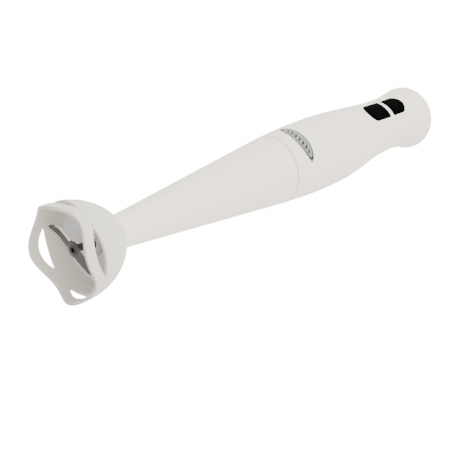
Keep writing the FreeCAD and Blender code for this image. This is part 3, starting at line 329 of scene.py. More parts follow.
nudge = math.radians(0.5)  # a face is told by a point just past its first corner
bell = bmesh.new()
band = [[bell_row(share, rim_edge, rim_side, inset) for share in evenly(0, 1, 5)]
        for inset in (0.0, bell_wall)]
skin(bell, band[0])
skin(bell, band[1])
skin(bell, [band[0][0], band[1][0]])
skirt = [[bell_row(share, dome_side, dome_foot, inset) for share in evenly(0, 1, 4)]
         for inset in (0.0, bell_wall)]
for outside_row, inside_row in ((band[0][-1], band[1][-1]), (skirt[0][0], skirt[1][0])):
    for index, angle in enumerate(bell_angles):
        after = (index + 1) % len(bell_angles)
        middle = from_slot(angle + nudge)
        if abs(middle) < slot_half:
            skin(bell, [[outside_row[index], outside_row[after]],
                        [inside_row[index], inside_row[after]]], closed=False)
roof_inset = bell_wall + ledge_step
roof_reach = dome_arc - bell_radius + boss_radius
roof_end = dome_start + math.sqrt((dome_arc - roof_inset) ** 2 - roof_reach ** 2)
dome_outline = [(x, dome_radius(x, 0.0)) for x in evenly(dome_low, neck_at, 36)[1:]]
dome_outline += [(neck_at, spigot_radius), (neck_at + spigot_depth, spigot_radius),
                 (neck_at + spigot_depth, bushing_radius),
                 (boss_low + seal_depth, bushing_radius), (boss_low + seal_depth, seal_radius),
                 (boss_low, seal_radius), (boss_low, boss_radius)]
dome_outline += [(x, dome_radius(x, roof_inset)) for x in evenly(roof_end, ledge_at, 16)]
dome_outline += [(x, dome_radius(x, bell_wall)) for x in evenly(ledge_at, dome_low, 10)[:-1]]
roof = [[at_station(station, a, radius) for a in bell_angles] for station, radius in dome_outline]
skin(bell, skirt[0])
skin(bell, [skirt[0][-1]] + roof + [skirt[1][-1]])
skin(bell, skirt[1])
# The bell's plastic is a darker, greyer copy of the white shell plastic: painted shade for the dome and
# the inside of the bell.
bell_plastic = moulded_plastic("bell_plastic", (0.66, 0.63, 0.565), (0.61, 0.585, 0.53), 0.38,
                               specular_ior_level=0.45)
make_piece(bell, "bell_shell", "leg", ["bell_guard"], bell_plastic,
           edge=0.6 * mm)

# ---------------------------------------------------------------- leg tube
# A straight conical tube in the handle's own off-white plastic, thin-walled, with a socket at the
# neck for the bell's spigot and a parallel seat in its wide mouth for the bayonet collar.
tube_low, tube_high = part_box("leg_tube")
tube_start, tube_end = tube_low.x - rim_x, tube_high.x - rim_x
seam_radius = (tube_high.z - tube_low.z) / 2
tube_wall, tube_columns = 2.2 * mm, 144
collar_radius, collar_depth = 24.0 * mm, 10.0 * mm
socket_radius, socket_end = 8.7 * mm, spigot_depth + 0.4 * mm


def cone_at(station):
    share = (station - tube_start) / (tube_end - tube_start)
    return neck_radius + (seam_radius - neck_radius) * share


tube = bmesh.new()
collar_start = tube_end - collar_depth
tube_outline = [(s, cone_at(s)) for s in evenly(tube_start, tube_end, 48)]
tube_outline += [(tube_end, collar_radius), (collar_start, collar_radius)]
tube_outline += [(s, cone_at(s) - tube_wall)
                 for s in evenly(collar_start, tube_start + socket_end, 24)]
tube_outline += [(tube_start + socket_end, socket_radius), (tube_start, socket_radius)]
tube_rows = turned_rows(tube_outline, tube_columns)
skin(tube, tube_rows + tube_rows[:1])
shell_plastic = moulded_plastic("white_shell", (0.95, 0.88, 0.75), (0.92, 0.86, 0.745), 0.33,
                                specular_ior_level=0.45)
tree = shell_plastic.node_tree
shader = tree.nodes["Principled BSDF"]
unshaded_tone = shader.inputs["Base Color"].links[0].from_socket
place = add_node(tree, "ShaderNodeTexCoord").outputs["Object"]
along = add_node(tree, "ShaderNodeSeparateXYZ", {0: place}).outputs["X"]
# Painted shade: a narrow dark-brown band across the seam where the leg tube meets the handle housing
# stands in for the shade in the gap between the two parts.
seam_half, seam_shade_half, seam_shade_fade = 0.2 * mm, 0.28 * mm, 0.06 * mm
off_seam = maths(tree, "SUBTRACT", along, tube_high.x + seam_half)
from_seam = maths(tree, "ABSOLUTE", off_seam)
seam_shade_mask = add_node(tree, "ShaderNodeMapRange", {0: from_seam, 1: seam_shade_half,
                                              2: seam_shade_half + seam_shade_fade, 3: 0.0, 4: 1.0})
seam_shade_mix = add_node(tree, "ShaderNodeMix", data_type="RGBA")
tree.links.new(seam_shade_mask.outputs[0], seam_shade_mix.inputs[0])
seam_shade_mix.inputs[6].default_value = (0.36, 0.31, 0.26, 1.0)
tree.links.new(unshaded_tone, seam_shade_mix.inputs[7])
tree.links.new(seam_shade_mix.outputs[2], shader.inputs["Base Color"])
make_piece(tube, "leg_cone", "leg", ["leg_tube"], shell_plastic,
           edge=0.22 * mm, segments=2)

# ---------------------------------------------------------------- handle housing
# The one-piece motor housing, off-white satin plastic. It swells over the motor, narrows to a grip
# and flares to a bulb at the cord end. Two windows let the buttons through, a shallow oval recess
# takes the badge, and a thumb rest is sunk below the buttons.
housing_low, housing_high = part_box("handle_housing")
seam = housing_low.x - rim_x - seam_half
housing_end = housing_high.x - rim_x - seam
housing_wall, housing_columns = 2.2 * mm, 180
sections = [  # distance along the handle from the seam, radius, and lift of the section, all in mm
    (0.2, 26.6, 0.0), (23.5, 28.25, -0.4), (46.0, 29.15, -0.7), (66.0, 29.2, -0.8),
    (86.0, 28.3, -0.6), (103.5, 26.4, 0.7), (120.5, 24.45, 1.9), (136.0, 23.4, 2.3),
    (151.8, 23.2, 2.3), (167.0, 23.9, 1.6), (181.0, 25.9, 0.5), (194.6, 28.4, -1.4)]
thumb_middle, thumb_long, thumb_wide = 96.0 * mm, 48.0 * mm, 11.9 * mm
thumb_depth, thumb_bank, thumb_full, thumb_gone = 0.8 * mm, 2.2 * mm, 70.0 * mm, 98.0 * mm


def curve_through(points):
    """A smooth curve through (place, value) points, with no bend at its two ends."""
    places, values = zip(*points)
    count = len(points)
    steps = [places[i + 1] - places[i] for i in range(count - 1)]
    slopes = [(values[i + 1] - values[i]) / steps[i] for i in range(count - 1)]
    bends, keep, carry = [0.0] * count, [1.0] * count, [0.0] * count
    for i in range(1, count - 1):
        keep[i] = 2 * (steps[i - 1] + steps[i]) - steps[i - 1] ** 2 / keep[i - 1] * (i > 1)
        carry[i] = 6 * (slopes[i] - slopes[i - 1]) - steps[i - 1] * carry[i - 1] / keep[i - 1]
    for i in range(count - 2, 0, -1):
        bends[i] = (carry[i] - steps[i] * bends[i + 1]) / keep[i]

    def value_at(place):
        i = max(0, min(count - 2, sum(1 for p in places[1:-1] if p <= place)))
        left, right = place - places[i], places[i + 1] - place
        return ((bends[i] * right ** 3 + bends[i + 1] * left ** 3) / (6 * steps[i])
                + (values[i] / steps[i] - bends[i] * steps[i] / 6) * right
                + (values[i + 1] / steps[i] - bends[i + 1] * steps[i] / 6) * left)
    return value_at


radius_along = curve_through([(at * mm, radius * mm) for at, radius, lift in sections])
lift_along = curve_through([(at * mm, lift * mm) for at, radius, lift in sections])


def smooth_step(value, low, high):
    share = min(max((value - low) / (high - low), 0.0), 1.0)
    return share * share * (3 - 2 * share)


def thumb_sink(at, side):
    """How deep the thumb rest is at a point on top of the handle."""
    if at > thumb_gone or abs(side) > thumb_wide:
        return 0.0
    along, across = (at - thumb_middle) / thumb_long, side / thumb_wide
    ring = math.hypot(along, across)
    if ring >= 1.0:
        return 0.0
    steep = math.hypot(along / thumb_long, across / thumb_wide)
    inside = (1.0 - ring) * ring / max(steep, 1e-6)
    return thumb_depth * smooth_step(inside, 0.0, thumb_bank) \
        * (1.0 - smooth_step(at, thumb_full, thumb_gone))


def by_side(at, side, inset):
    """A point on top of the handle, by its distance from the seam and from the middle."""
    height = math.sqrt((radius_along(at) - inset) ** 2 - side ** 2)
    return Vector((rim_x + seam + at, side, axis_z + lift_along(at) + height))


def by_angle(at, angle, inset):
    """A point on the handle by its distance from the seam and its angle from the top."""
    radius = radius_along(at) - inset
    if abs(angle) < math.pi / 2 and inset == 0.0:
        radius -= thumb_sink(at, radius * math.sin(angle))
    return at_station(seam + at, angle, radius, lift_along(at))


def around_sides(corners, step):
    """A closed line through lists of corner-to-corner points, laid evenly, and where each starts."""
    line, starts = [], []
    for side in corners:
        starts.append(len(line))
        for (x0, y0), (x1, y1) in zip(side, side[1:]):
            count = max(1, round(math.hypot(x1 - x0, y1 - y0) / step))
            line += [(x0 + (x1 - x0) * k / count, y0 + (y1 - y0) * k / count)
                     for k in range(count)]
    return line, starts


def rounded_sides(corners, counts, rounding, crowding=0.6):
    """A closed outline with softened corners, each side cut into its own number of steps."""
    step = 0.05 * mm
    line, starts = around_sides(corners, step)
    reach = max(1, round(rounding / step))
    total = len(line)
    sums = [(0.0, 0.0)]
    for k in range(-reach, total + reach + 1):
        x, y = line[k % total]
        sums.append((sums[-1][0] + x, sums[-1][1] + y))
    width = 2 * reach + 1
    soft = [((sums[k + width][0] - sums[k][0]) / width, (sums[k + width][1] - sums[k][1]) / width)
            for k in range(total)]
    sides = []
    for start, end, count in zip(starts, starts[1:] + [total], counts):
        side = []
        for k in range(count + 1):
            share = k / count
            share += (0.5 - 0.5 * math.cos(math.pi * share) - share) * crowding
            place = start + share * (end - start)
            low = int(place)
            (x0, y0), (x1, y1) = soft[low % total], soft[(low + 1) % total]
            side.append((x0 + (x1 - x0) * (place - low), y0 + (y1 - y0) * (place - low)))
        sides.append(side)
    return sides


def ring_of(sides):
    """The four sides of an outline as one closed ring, with no point twice."""
    return [point for side in sides for point in side[:-1]]


def grown(ring, amount):
    """A closed ring of (place, side) points moved outwards, square to itself."""
    moved = []
    for k, (x, y) in enumerate(ring):
        (x0, y0), (x1, y1) = ring[k - 1], ring[(k + 1) % len(ring)]
        long = math.hypot(x1 - x0, y1 - y0)
        moved.append((x - (y1 - y0) / long * amount, y + (x1 - x0) / long * amount))
    return moved


def grown_sides(sides, amount):
    """The four sides of an outline, moved outwards and cut apart again at the same points."""
    ring = grown(ring_of(sides), amount)
    moved, start = [], 0
    for side in sides:
        moved.append([ring[(start + k) % len(ring)] for k in range(len(side))])
        start += len(side) - 1
    return moved


def bow(place, height, half_width, count=24):
    """An arc from one flank to the other. A height below 0 bows it towards the seam."""
    arc = (half_width ** 2 + height ** 2) / (2 * abs(height))
    turn = math.asin(half_width / arc)
    return [(place + math.copysign(arc * math.cos(t) - arc * math.cos(turn), height),
             arc * math.sin(t)) for t in evenly(-turn, turn, count)]


whole_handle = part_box("cord_gland")[1].x - rim_x - seam
button_half, button_gap, corner_rounding = 8.9 * mm, 0.25 * mm, 0.8 * mm
low_near, low_far = whole_handle - 90.4 * mm, whole_handle - 63.2 * mm
turbo_near, turbo_far = whole_handle - 57.5 * mm, whole_handle - 35.1 * mm
low_bow, turbo_bow = 5.8 * mm, 7.0 * mm
across_steps, low_steps, turbo_steps = 32, 24, 20


def button_sides(word):
    """The outline of a button, from its near side round through its flanks, at its full size."""
    if word == "low":
        base = low_near + low_bow
        near = bow(base, -low_bow, button_half)
        far = [(low_far, button_half), (low_far, -button_half)]
        steps = low_steps
    else:
        base = turbo_far - turbo_bow
        near = [(turbo_near, -button_half), (turbo_near, button_half)]
        far = bow(base, turbo_bow, button_half)[::-1]
        steps = turbo_steps
    corners = [near, [near[-1], far[0]], far, [far[-1], near[0]]]
    return rounded_sides(corners, (across_steps, steps, across_steps, steps), corner_rounding)


badge_at, badge_half_long, badge_half_wide = 17.1 * mm, 5.4 * mm, 18.6 * mm
badge_sunk, badge_proud = 0.5 * mm, 0.15 * mm


def badge_sides(grow, counts):
    """The badge's oval as four sides, so that it fits a four-sided patch of the handle."""
    sides = []
    for quarter, count in enumerate(counts):
        start = math.pi * (1.25 - 0.5 * quarter)
        side = []
        for turn in evenly(start, start - math.pi / 2, count):
            side.append((badge_at + (badge_half_long + grow) * math.cos(turn),
                         (badge_half_wide + grow) * math.sin(turn)))
        sides.append(side)
    return sides


badge_near, badge_far, badge_steps = 6.0 * mm, 26.0 * mm, 20
crease_near, crease_far = 46.0 * mm, 54.0 * mm  # rows lie closer at the low end of the thumb rest
field_near, field_bar, field_far = low_near - 4.0 * mm, (low_far + turbo_near) / 2, turbo_far + 4.0 * mm
stations = evenly(seam_half, badge_near, 5)[:-1] + evenly(badge_near, badge_far, badge_steps)[:-1]
stations += evenly(badge_far, crease_near, 12)[:-1] + evenly(crease_near, crease_far, 12)[:-1]
stations += evenly(crease_far, field_near, 34)[:-1] + evenly(field_near, field_bar, low_steps)[:-1]
stations += evenly(field_bar, field_far, turbo_steps)[:-1] + evenly(field_far, housing_end, 20)
column_turn, close = math.tau / housing_columns, 1e-7
badge_columns, field_columns = 24, across_steps // 2
patches = [  # near row, far row, columns each side of the top
    (badge_near, badge_far, badge_columns, "badge"),
    (field_near, field_bar, field_columns, "low"), (field_bar, field_far, field_columns, "turbo")]


def in_patch(row, column, holes):
    """True where a face of the handle's grid lies inside one of the named patches."""
    side = column if column < housing_columns / 2 else column - housing_columns
    for near, far, half, word in patches:
        if word in holes and -half <= side < half:
            if near - close <= stations[row] and stations[row + 1] <= far + close:
                return True
    return False


def patch_frame(near, far, half, inset):
    """The grid's own edge points round a patch, as (place, side), in the outline's order."""
    rows = [s for s in stations if near - close <= s <= far + close]
    turns = [column_turn * k for k in range(-half, half + 1)]

    def point(at, turn):
        return at, (radius_along(at) - inset) * math.sin(turn)
    return [[point(rows[0], t) for t in turns], [point(s, turns[-1]) for s in rows],
            [point(rows[-1], t) for t in turns[::-1]], [point(s, turns[0]) for s in rows[::-1]]]


def handle_sheet(mesh, inset, holes):
    """One sheet of the handle, with rings of faces that lead from the grid to each opening."""
    laid = [[mesh.verts.new(by_angle(at, column_turn * c, inset)) for c in range(housing_columns)]
            for at in stations]
    for row in range(len(stations) - 1):
        for column in range(housing_columns):
            if in_patch(row, column, holes):
                continue
            after = (column + 1) % housing_columns
            mesh.faces.new((laid[row][column], laid[row][after],
                            laid[row + 1][after], laid[row + 1][column]))
    for near, far, half, word in patches:
        if word not in holes:
            continue
        outer = ring_of(patch_frame(near, far, half, inset))
        inner = ring_of(opening_sides(word))
        rings = []
        for share in (0.0, 0.3, 0.55, 0.75, 0.9, 1.0):
            ring = []
            for (x0, y0), (x1, y1) in zip(outer, inner):
                at, side = x0 + (x1 - x0) * share, y0 + (y1 - y0) * share
                sunk = thumb_sink(at, side) if inset == 0.0 else 0.0
                ring.append(by_side(at, side, inset + sunk))
            rings.append(ring)
        skin(mesh, rings)


def opening_sides(word):
    """The edge of an opening: a button's outline with its gap, or the badge's oval."""
    if word == "badge":
        counts = (2 * badge_columns, badge_steps, 2 * badge_columns, badge_steps)
        return badge_sides(button_gap / 2, counts)
    return grown_sides(button_sides(word), button_gap)


def patch_fill(mesh, sides, place):
    """Fills a four-sided outline with a grid of faces, each corner put on a surface by place."""
    near, right, far, left = sides
    across, along = len(near) - 1, len(right) - 1
    far, left = far[::-1], left[::-1]
    grid = []
    for row in range(along + 1):
        v = row / along
        line = []
        for column in range(across + 1):
            u = column / across
            at, side = [(1 - v) * near[column][k] + v * far[column][k]
                        + (1 - u) * left[row][k] + u * right[row][k]
                        - (1 - u) * (1 - v) * near[0][k] - u * (1 - v) * near[-1][k]
                        - (1 - u) * v * far[0][k] - u * v * far[-1][k] for k in (0, 1)]
            line.append(mesh.verts.new(place(at, side)))
        grid.append(line)
    for low, high in zip(grid, grid[1:]):
        for k in range(across):
            mesh.faces.new((low[k], low[k + 1], high[k + 1], high[k]))


housing = bmesh.new()
handle_sheet(housing, 0.0, ("badge", "low", "turbo"))
handle_sheet(housing, housing_wall, ("low", "turbo"))
for end in (seam_half, housing_end):
    skin(housing, [[by_angle(end, column_turn * c, inset) for c in range(housing_columns)]
                   for inset in (0.0, housing_wall)])
for word in ("low", "turbo"):
    edge = ring_of(opening_sides(word))
    skin(housing, [[by_side(at, side, inset) for at, side in edge]
                   for inset in (0.0, housing_wall / 2, housing_wall)])
badge_edge = opening_sides("badge")
skin(housing, [[by_side(at, side, inset) for at, side in ring_of(badge_edge)]
               for inset in (0.0, badge_sunk)])
patch_fill(housing, badge_edge, lambda at, side: by_side(at, side, badge_sunk))
make_piece(housing, "handle_shell", "motor_unit", ["handle_housing"], shell_plastic,
           edge=0.18 * mm, segments=2)

# ---------------------------------------------------------------- push-buttons
# Two keys of one pill shape in near-black plastic with a fine matt grain. Each follows the handle's
# curve, stands a little proud of it, and has a flange inside that keeps it in its window.
button_proud, button_round, flange_wide, flange_thick = 0.6 * mm, 0.35 * mm, 1.1 * mm, 1.2 * mm
button_black = moulded_plastic("button_black", (0.0006, 0.0006, 0.0009), (0.0004, 0.0004, 0.0006), 0.6,
                               grain=0.35, specular_ior_level=0.004)
for word in ("low", "turbo"):
    node = word + "_button"
    flange_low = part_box(node)[0].z
    sides = button_sides(word)
    ring = ring_of(sides)
    key = bmesh.new()
    rings = []
    for turn in evenly(0, math.pi / 2, 5):
        inwards = button_round * (1 - math.sin(turn))
        drop = button_round * (1 - math.cos(turn))
        rings.append([by_side(at, side, drop - button_proud)
                      for at, side in grown(ring, -inwards)])
    flange_top = flange_low + flange_thick
    rows = [(ring, flange_top), (grown(ring, flange_wide), flange_top),
            (grown(ring, flange_wide), flange_low)]
    rings += [[Vector((rim_x + seam + at, side, z)) for at, side in line] for line, z in rows]
    skin(key, rings)
    patch_fill(key, grown_sides(sides, -button_round),
               lambda at, side: by_side(at, side, -button_proud))
    patch_fill(key, grown_sides(sides, flange_wide),
               lambda at, side: Vector((rim_x + seam + at, side, flange_low)))
    make_piece(key, node.replace("button", "key"), node, [node], button_black)

# ---------------------------------------------------------------- badge
# A thin satin-silver oval let into the shell above the seam, glued in its recess. It has a dark
# printed line inside its edge and a row of plain slanted bars, which Geometry Nodes repeat.
silver, tree, shader = new_finish("badge_silver", 0.34, metallic=0.9)
place = add_node(tree, "ShaderNodeTexCoord").outputs["Object"]
drawn = add_node(tree, "ShaderNodeMapping", {"Vector": place, "Scale": (4200.0, 260.0, 4200.0)})
lines = add_node(tree, "ShaderNodeTexNoise", {"Vector": drawn.outputs[0], "Scale": 1.0})
tree.links.new(mix_colours(tree, lines.outputs["Fac"], (0.13, 0.13, 0.135), (0.34, 0.34, 0.35)),
               shader.inputs["Base Color"])
foil = add_node(tree, "ShaderNodeMapRange", {0: lines.outputs["Fac"], 1: 0.3, 2: 0.7,
                                             3: 0.28, 4: 0.42})
tree.links.new(foil.outputs[0], shader.inputs["Roughness"])
print_black = moulded_plastic("badge_print", (0.012, 0.012, 0.013), (0.008, 0.008, 0.009), 0.5,
                              grain=0.1, specular_ior_level=0.2)


def oval_ring(share, inset, grow=0.0):
    """An oval of points on the handle's surface, at a share of the badge's size."""
    ring = []
    for turn in evenly(0, math.tau, 96)[:-1]:
        at = badge_at + (badge_half_long * share + grow) * math.cos(turn)
        side = (badge_half_wide * share + grow) * math.sin(turn)
        ring.append(by_side(at, side, inset))
    return ring


badge_gap, badge_round = 0.05 * mm, 0.12 * mm
print_lift, print_depth = 0.03 * mm, 0.05 * mm
plate = bmesh.new()
top_rings = [oval_ring(share, -badge_proud) for share in evenly(0.04, 0.96, 8)]
top_rings += [oval_ring(1, -badge_proud, -badge_round), oval_ring(1, badge_round - badge_proud)]
base_rings = [oval_ring(share, badge_sunk - badge_gap) for share in evenly(1, 0.04, 8)]
skin(plate, top_rings + base_rings)
for ring in (top_rings[0], base_rings[-1]):
    plate.faces.new([plate.verts.new(point) for point in ring])
make_piece(plate, "badge_plate", "motor_unit", ["badge"], silver,
           edge=0.05 * mm, segments=2)

border = bmesh.new()
border_rings = [
    oval_ring(0.94, print_depth - badge_proud), oval_ring(0.94, -badge_proud - print_lift),
    oval_ring(0.86, -badge_proud - print_lift), oval_ring(0.86, print_depth - badge_proud)]
skin(border, border_rings + border_rings[:1])
make_piece(border, "badge_border", "motor_unit", ["badge"], print_black)


def repeat_tree(name, finish):
    """A node tree that repeats its own shape along a step and round the X axis."""
    tree = bpy.data.node_groups.new(name, "GeometryNodeTree")
    for word, kind in (("Geometry", "NodeSocketGeometry"), ("Count", "NodeSocketInt"),
                       ("Step", "NodeSocketFloat"), ("Turn", "NodeSocketFloat"),
                       ("Taper", "NodeSocketFloat")):
        tree.interface.new_socket(word, in_out="INPUT", socket_type=kind)
    tree.interface.new_socket("Geometry", in_out="OUTPUT", socket_type="NodeSocketGeometry")
    given = tree.nodes.new("NodeGroupInput").outputs
    half = maths(tree, "DIVIDE", maths(tree, "SUBTRACT", given["Count"], 1.0), 2.0)
    index = add_node(tree, "GeometryNodeInputIndex")
    from_middle = maths(tree, "SUBTRACT", index.outputs[0], half)
    angle = maths(tree, "MULTIPLY", from_middle, given["Turn"])
    turned = add_node(tree, "ShaderNodeCombineXYZ", {0: angle})
    offset = add_node(tree, "ShaderNodeCombineXYZ", {0: given["Step"]})
    line = add_node(tree, "GeometryNodeMeshLine", {"Count": given["Count"],
                                                   "Offset": offset.outputs[0]})
    share = maths(tree, "DIVIDE", from_middle, half)
    loss = maths(tree, "MULTIPLY", maths(tree, "MULTIPLY", share, share), given["Taper"])
    left = maths(tree, "SUBTRACT", 1.0, loss)
    size = add_node(tree, "ShaderNodeCombineXYZ", {0: left, 1: 1.0, 2: 1.0})
    laid = add_node(tree, "GeometryNodeInstanceOnPoints", {
        "Points": line.outputs[0], "Instance": given["Geometry"], "Rotation": turned.outputs[0],
        "Scale": size.outputs[0]})
    real = add_node(tree, "GeometryNodeRealizeInstances", {0: laid.outputs[0]})
    painted = add_node(tree, "GeometryNodeSetMaterial", {0: real.outputs[0], "Material": finish})
    end = tree.nodes.new("NodeGroupOutput")
    tree.links.new(painted.outputs[0], end.inputs[0])
    return tree


def make_repeated(mesh, name, body, nodes, slot, finish, centre, **inputs):
    """Repeat a small mesh with Geometry Nodes, keep the result as a mesh, and put it in place."""
    bmesh.ops.recalc_face_normals(mesh, faces=mesh.faces)
    unit = bpy.data.meshes.new(name + "_unit")
    mesh.to_mesh(unit)
    mesh.free()
    piece = bpy.data.objects.new(name, unit)
    bpy.context.scene.collection.objects.link(piece)
    tree = repeat_tree(name + "_tree", finish)
    maker = piece.modifiers.new("repeat", "NODES")
    maker.node_group = tree
    for item in tree.interface.items_tree:
        if item.in_out == "INPUT" and item.name.lower() in inputs:
            maker[item.identifier] = inputs[item.name.lower()]
    bpy.context.view_layer.update()
    seen = piece.evaluated_get(bpy.context.evaluated_depsgraph_get())
    baked = bpy.data.meshes.new_from_object(seen)
    piece.modifiers.remove(maker)
    piece.data = baked
    baked.transform(Matrix.Translation(centre))
    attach(piece, body)
    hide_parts(*nodes)
    return piece


bar_count, bar_turn, bar_long, bar_wide, bar_slant = 7, math.radians(8.2), 5.6 * mm, 1.6 * mm, 2.6 * mm
bar_radius = radius_along(badge_at) + badge_proud
bar = bmesh.new()
bar_rows = []
for along in evenly(-bar_long / 2, bar_long / 2, 6):
    middle = along / bar_long * bar_slant
    bar_rows.append([Vector((along, middle - bar_wide / 2, bar_radius - print_depth)),
                     Vector((along, middle - bar_wide / 2, bar_radius + print_lift)),
                     Vector((along, middle + bar_wide / 2, bar_radius + print_lift)),
                     Vector((along, middle + bar_wide / 2, bar_radius - print_depth))])
skin(bar, bar_rows)
for row in (bar_rows[0], bar_rows[-1]):
    bar.faces.new([bar.verts.new(point) for point in row])
bmesh.ops.remove_doubles(bar, verts=bar.verts, dist=weld)
make_repeated(bar, "badge_bars", "motor_unit", ["badge"], "badge_silver", print_black,
              Vector((rim_x + seam + badge_at, 0, axis_z + lift_along(badge_at))),
              count=bar_count, step=0.0, turn=bar_turn, taper=0.45)

# ---------------------------------------------------------------- end cap
# The bulb's far end, moulded in the handle's plastic, with a round shoulder, a ring of radial
# cooling slots and a hole for the cord's gland. A lip locates it in the housing.
cap_lift = lift_along(housing_end)
bulb_radius = (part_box("end_cap")[1].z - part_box("end_cap")[0].z) / 2
cap_face = whole_handle - 0.4 * mm  # the gland stands out by this much
cap_seat, cap_round, cap_wall = housing_end + 0.05 * mm, 5.2 * mm, 2.4 * mm
cap_lip, cap_fit, lip_deep, gland_hole = 3.8 * mm, 1.2 * mm, 3.0 * mm, 6.05 * mm
vent_count, vent_inner, vent_outer, vent_half = 20, 14.6 * mm, 20.0 * mm, 0.8 * mm
outer_ring, middle_ring, inner_ring = 21.2 * mm, 11.0 * mm, 8.5 * mm
vent_steps, land_steps, vent_rings, plain_rings = 3, 6, 3, 3


def cap_ring(at, radius):
    """A ring of the cap. Its points keep to the edges of the slots, which have parallel sides."""
    half = math.asin(vent_half / min(max(radius, vent_inner), vent_outer))
    sector = math.tau / vent_count
    turns = evenly(-half, half, vent_steps)[:-1] + evenly(half, sector - half, land_steps)[:-1]
    return [at_station(seam + at, sector * k + t, radius, cap_lift)
            for k in range(vent_count) for t in turns]


def cap_skin(mesh, rows, vent_rows):
    """Rows of the cap, with the slots left out between the given pairs of rows."""
    laid = [[mesh.verts.new(point) for point in row] for row in rows]
    count = len(rows[0]) // vent_count
    for number, (low, high) in enumerate(zip(laid, laid[1:])):
        for k in range(len(low)):
            if number in vent_rows and k % count < vent_steps:
                continue
            after = (k + 1) % len(low)
            mesh.faces.new((low[k], low[after], high[after], high[k]))


cap = bmesh.new()
turns = evenly(0, math.pi / 2, 8)
shell_rows = [(cap_seat, bulb_radius)]
shell_rows += [(cap_face - cap_round + cap_round * math.sin(t),
                bulb_radius - cap_round + cap_round * math.cos(t)) for t in turns]
vent_radii = evenly(vent_outer, vent_inner, vent_rings)
shell_rows += [(cap_face, outer_ring)] + [(cap_face, r) for r in vent_radii]
shell_rows += [(cap_face, middle_ring), (cap_face, inner_ring), (cap_face, gland_hole)]
cap_roof, cap_inside = cap_face - cap_wall, bulb_radius - housing_wall
under_rows = [(cap_roof, gland_hole), (cap_roof, inner_ring), (cap_roof, middle_ring)]
under_rows += [(cap_roof, r) for r in vent_radii[::-1]]
under_rows += [(cap_roof, cap_inside - cap_lip), (cap_seat - lip_deep, cap_inside - cap_lip),
               (cap_seat - lip_deep, cap_inside - cap_fit), (cap_seat, cap_inside - cap_fit),
               (cap_seat, bulb_radius)]
first_vents = (len(shell_rows) - len(vent_radii) - plain_rings, len(shell_rows) + plain_rings)
cap_skin(cap, [cap_ring(*row) for row in shell_rows + under_rows],
         [first + k for first in first_vents for k in range(vent_rings)])
for vent in range(vent_count):
    edges = []
    for at in (cap_face, cap_roof):
        rings = [cap_ring(at, r) for r in vent_radii]
        first = vent * (vent_steps + land_steps)
        edges.append([rings[0][first + k] for k in range(vent_steps + 1)]
                     + [ring[first + vent_steps] for ring in rings[1:]]
                     + [rings[-1][first + k] for k in reversed(range(vent_steps))]
                     + [ring[first] for ring in rings[-2:0:-1]])
    skin(cap, edges)
make_piece(cap, "bulb_cap", "motor_unit", ["end_cap"], shell_plastic,
           edge=0.2 * mm, segments=2)

# ---------------------------------------------------------------- cord gland
# A soft grey bush that snaps into the cap between two flanges, with a bore for a 7 mm lead.
# Rings of grip ribs stand in the bore; Geometry Nodes repeat one rib along it.
gland_base, gland_chamfer = whole_handle - 9.0 * mm, 0.4 * mm
gland_gap, gland_radius, gland_flange, inlet_radius = 0.05 * mm, 6.0 * mm, 8.0 * mm, 3.5 * mm
gland_plastic = moulded_plastic("gland_plastic", (0.60, 0.59, 0.57), (0.52, 0.51, 0.50), 0.6, 0.2)
gland = bmesh.new()
gland_rows = turned_rows([
    (seam + whole_handle, inlet_radius), (seam + whole_handle, gland_flange - gland_chamfer),
    (seam + cap_face + gland_gap, gland_flange), (seam + cap_face + gland_gap, gland_radius),
    (seam + cap_roof - gland_gap, gland_radius), (seam + cap_roof - gland_gap, gland_flange),
    (seam + cap_roof - cap_wall / 2, gland_flange), (seam + cap_roof - cap_wall / 2, gland_radius),
    (seam + gland_base, gland_radius - gland_chamfer), (seam + gland_base, inlet_radius)], 72, cap_lift)
skin(gland, gland_rows + gland_rows[:1])
make_piece(gland, "gland_bush", "motor_unit", ["cord_gland"], gland_plastic,
           edge=0.12 * mm, segments=2)
rib_count, rib_step, rib_high, rib_long = 5, 1.5 * mm, 0.12 * mm, 0.7 * mm
rib = bmesh.new()
rib_rows = []
for along, radius in ((-rib_long / 2, inlet_radius + rib_high), (-rib_long / 4, inlet_radius - rib_high),
                      (rib_long / 4, inlet_radius - rib_high), (rib_long / 2, inlet_radius + rib_high)):
    rib_rows.append([Vector((along, radius * math.sin(t), radius * math.cos(t)))
                     for t in evenly(0, math.tau, 72)[:-1]])
skin(rib, rib_rows + rib_rows[:1])
bmesh.ops.remove_doubles(rib, verts=rib.verts, dist=weld)
make_repeated(rib, "gland_ribs", "motor_unit", ["cord_gland"], "gland_plastic", gland_plastic,
              Vector((rim_x + seam + gland_base + rib_step, 0, axis_z + cap_lift)),
              count=rib_count, step=rib_step, turn=0.0, taper=0.0)

# ---------------------------------------------------------------- blade
# Two arms and a hub cut from one sheet of hardened steel. Each arm has a ground edge; the narrow
# one is bent up at its tip. It is held on the shaft by the shaft's own rolled rivet lip.


def brushed_steel(name, dark, light, roughness, stretch):
    """Steel with fine drawn lines, a slow change of tone and a rough, uneven sheen."""
    finish, tree, shader = new_finish(name, roughness, metallic=1.0)
    place = add_node(tree, "ShaderNodeTexCoord").outputs["Object"]
    drawn = add_node(tree, "ShaderNodeMapping", {"Vector": place, "Scale": stretch})
    lines = add_node(tree, "ShaderNodeTexNoise", {"Vector": drawn.outputs[0], "Scale": 1.0,
                                                  "Detail": 3.0})
    tree.links.new(mix_colours(tree, lines.outputs["Fac"], dark, light),
                   shader.inputs["Base Color"])
    sheen = add_node(tree, "ShaderNodeMapRange", {0: lines.outputs["Fac"], 1: 0.3, 2: 0.7,
                                                  3: roughness - 0.07, 4: roughness + 0.08})
    tree.links.new(sheen.outputs[0], shader.inputs["Roughness"])
    bump = add_node(tree, "ShaderNodeBump", {"Strength": 0.12, "Distance": 0.02 * mm,
                                             "Height": lines.outputs["Fac"]})
    tree.links.new(bump.outputs[0], shader.inputs["Normal"])
    return finish


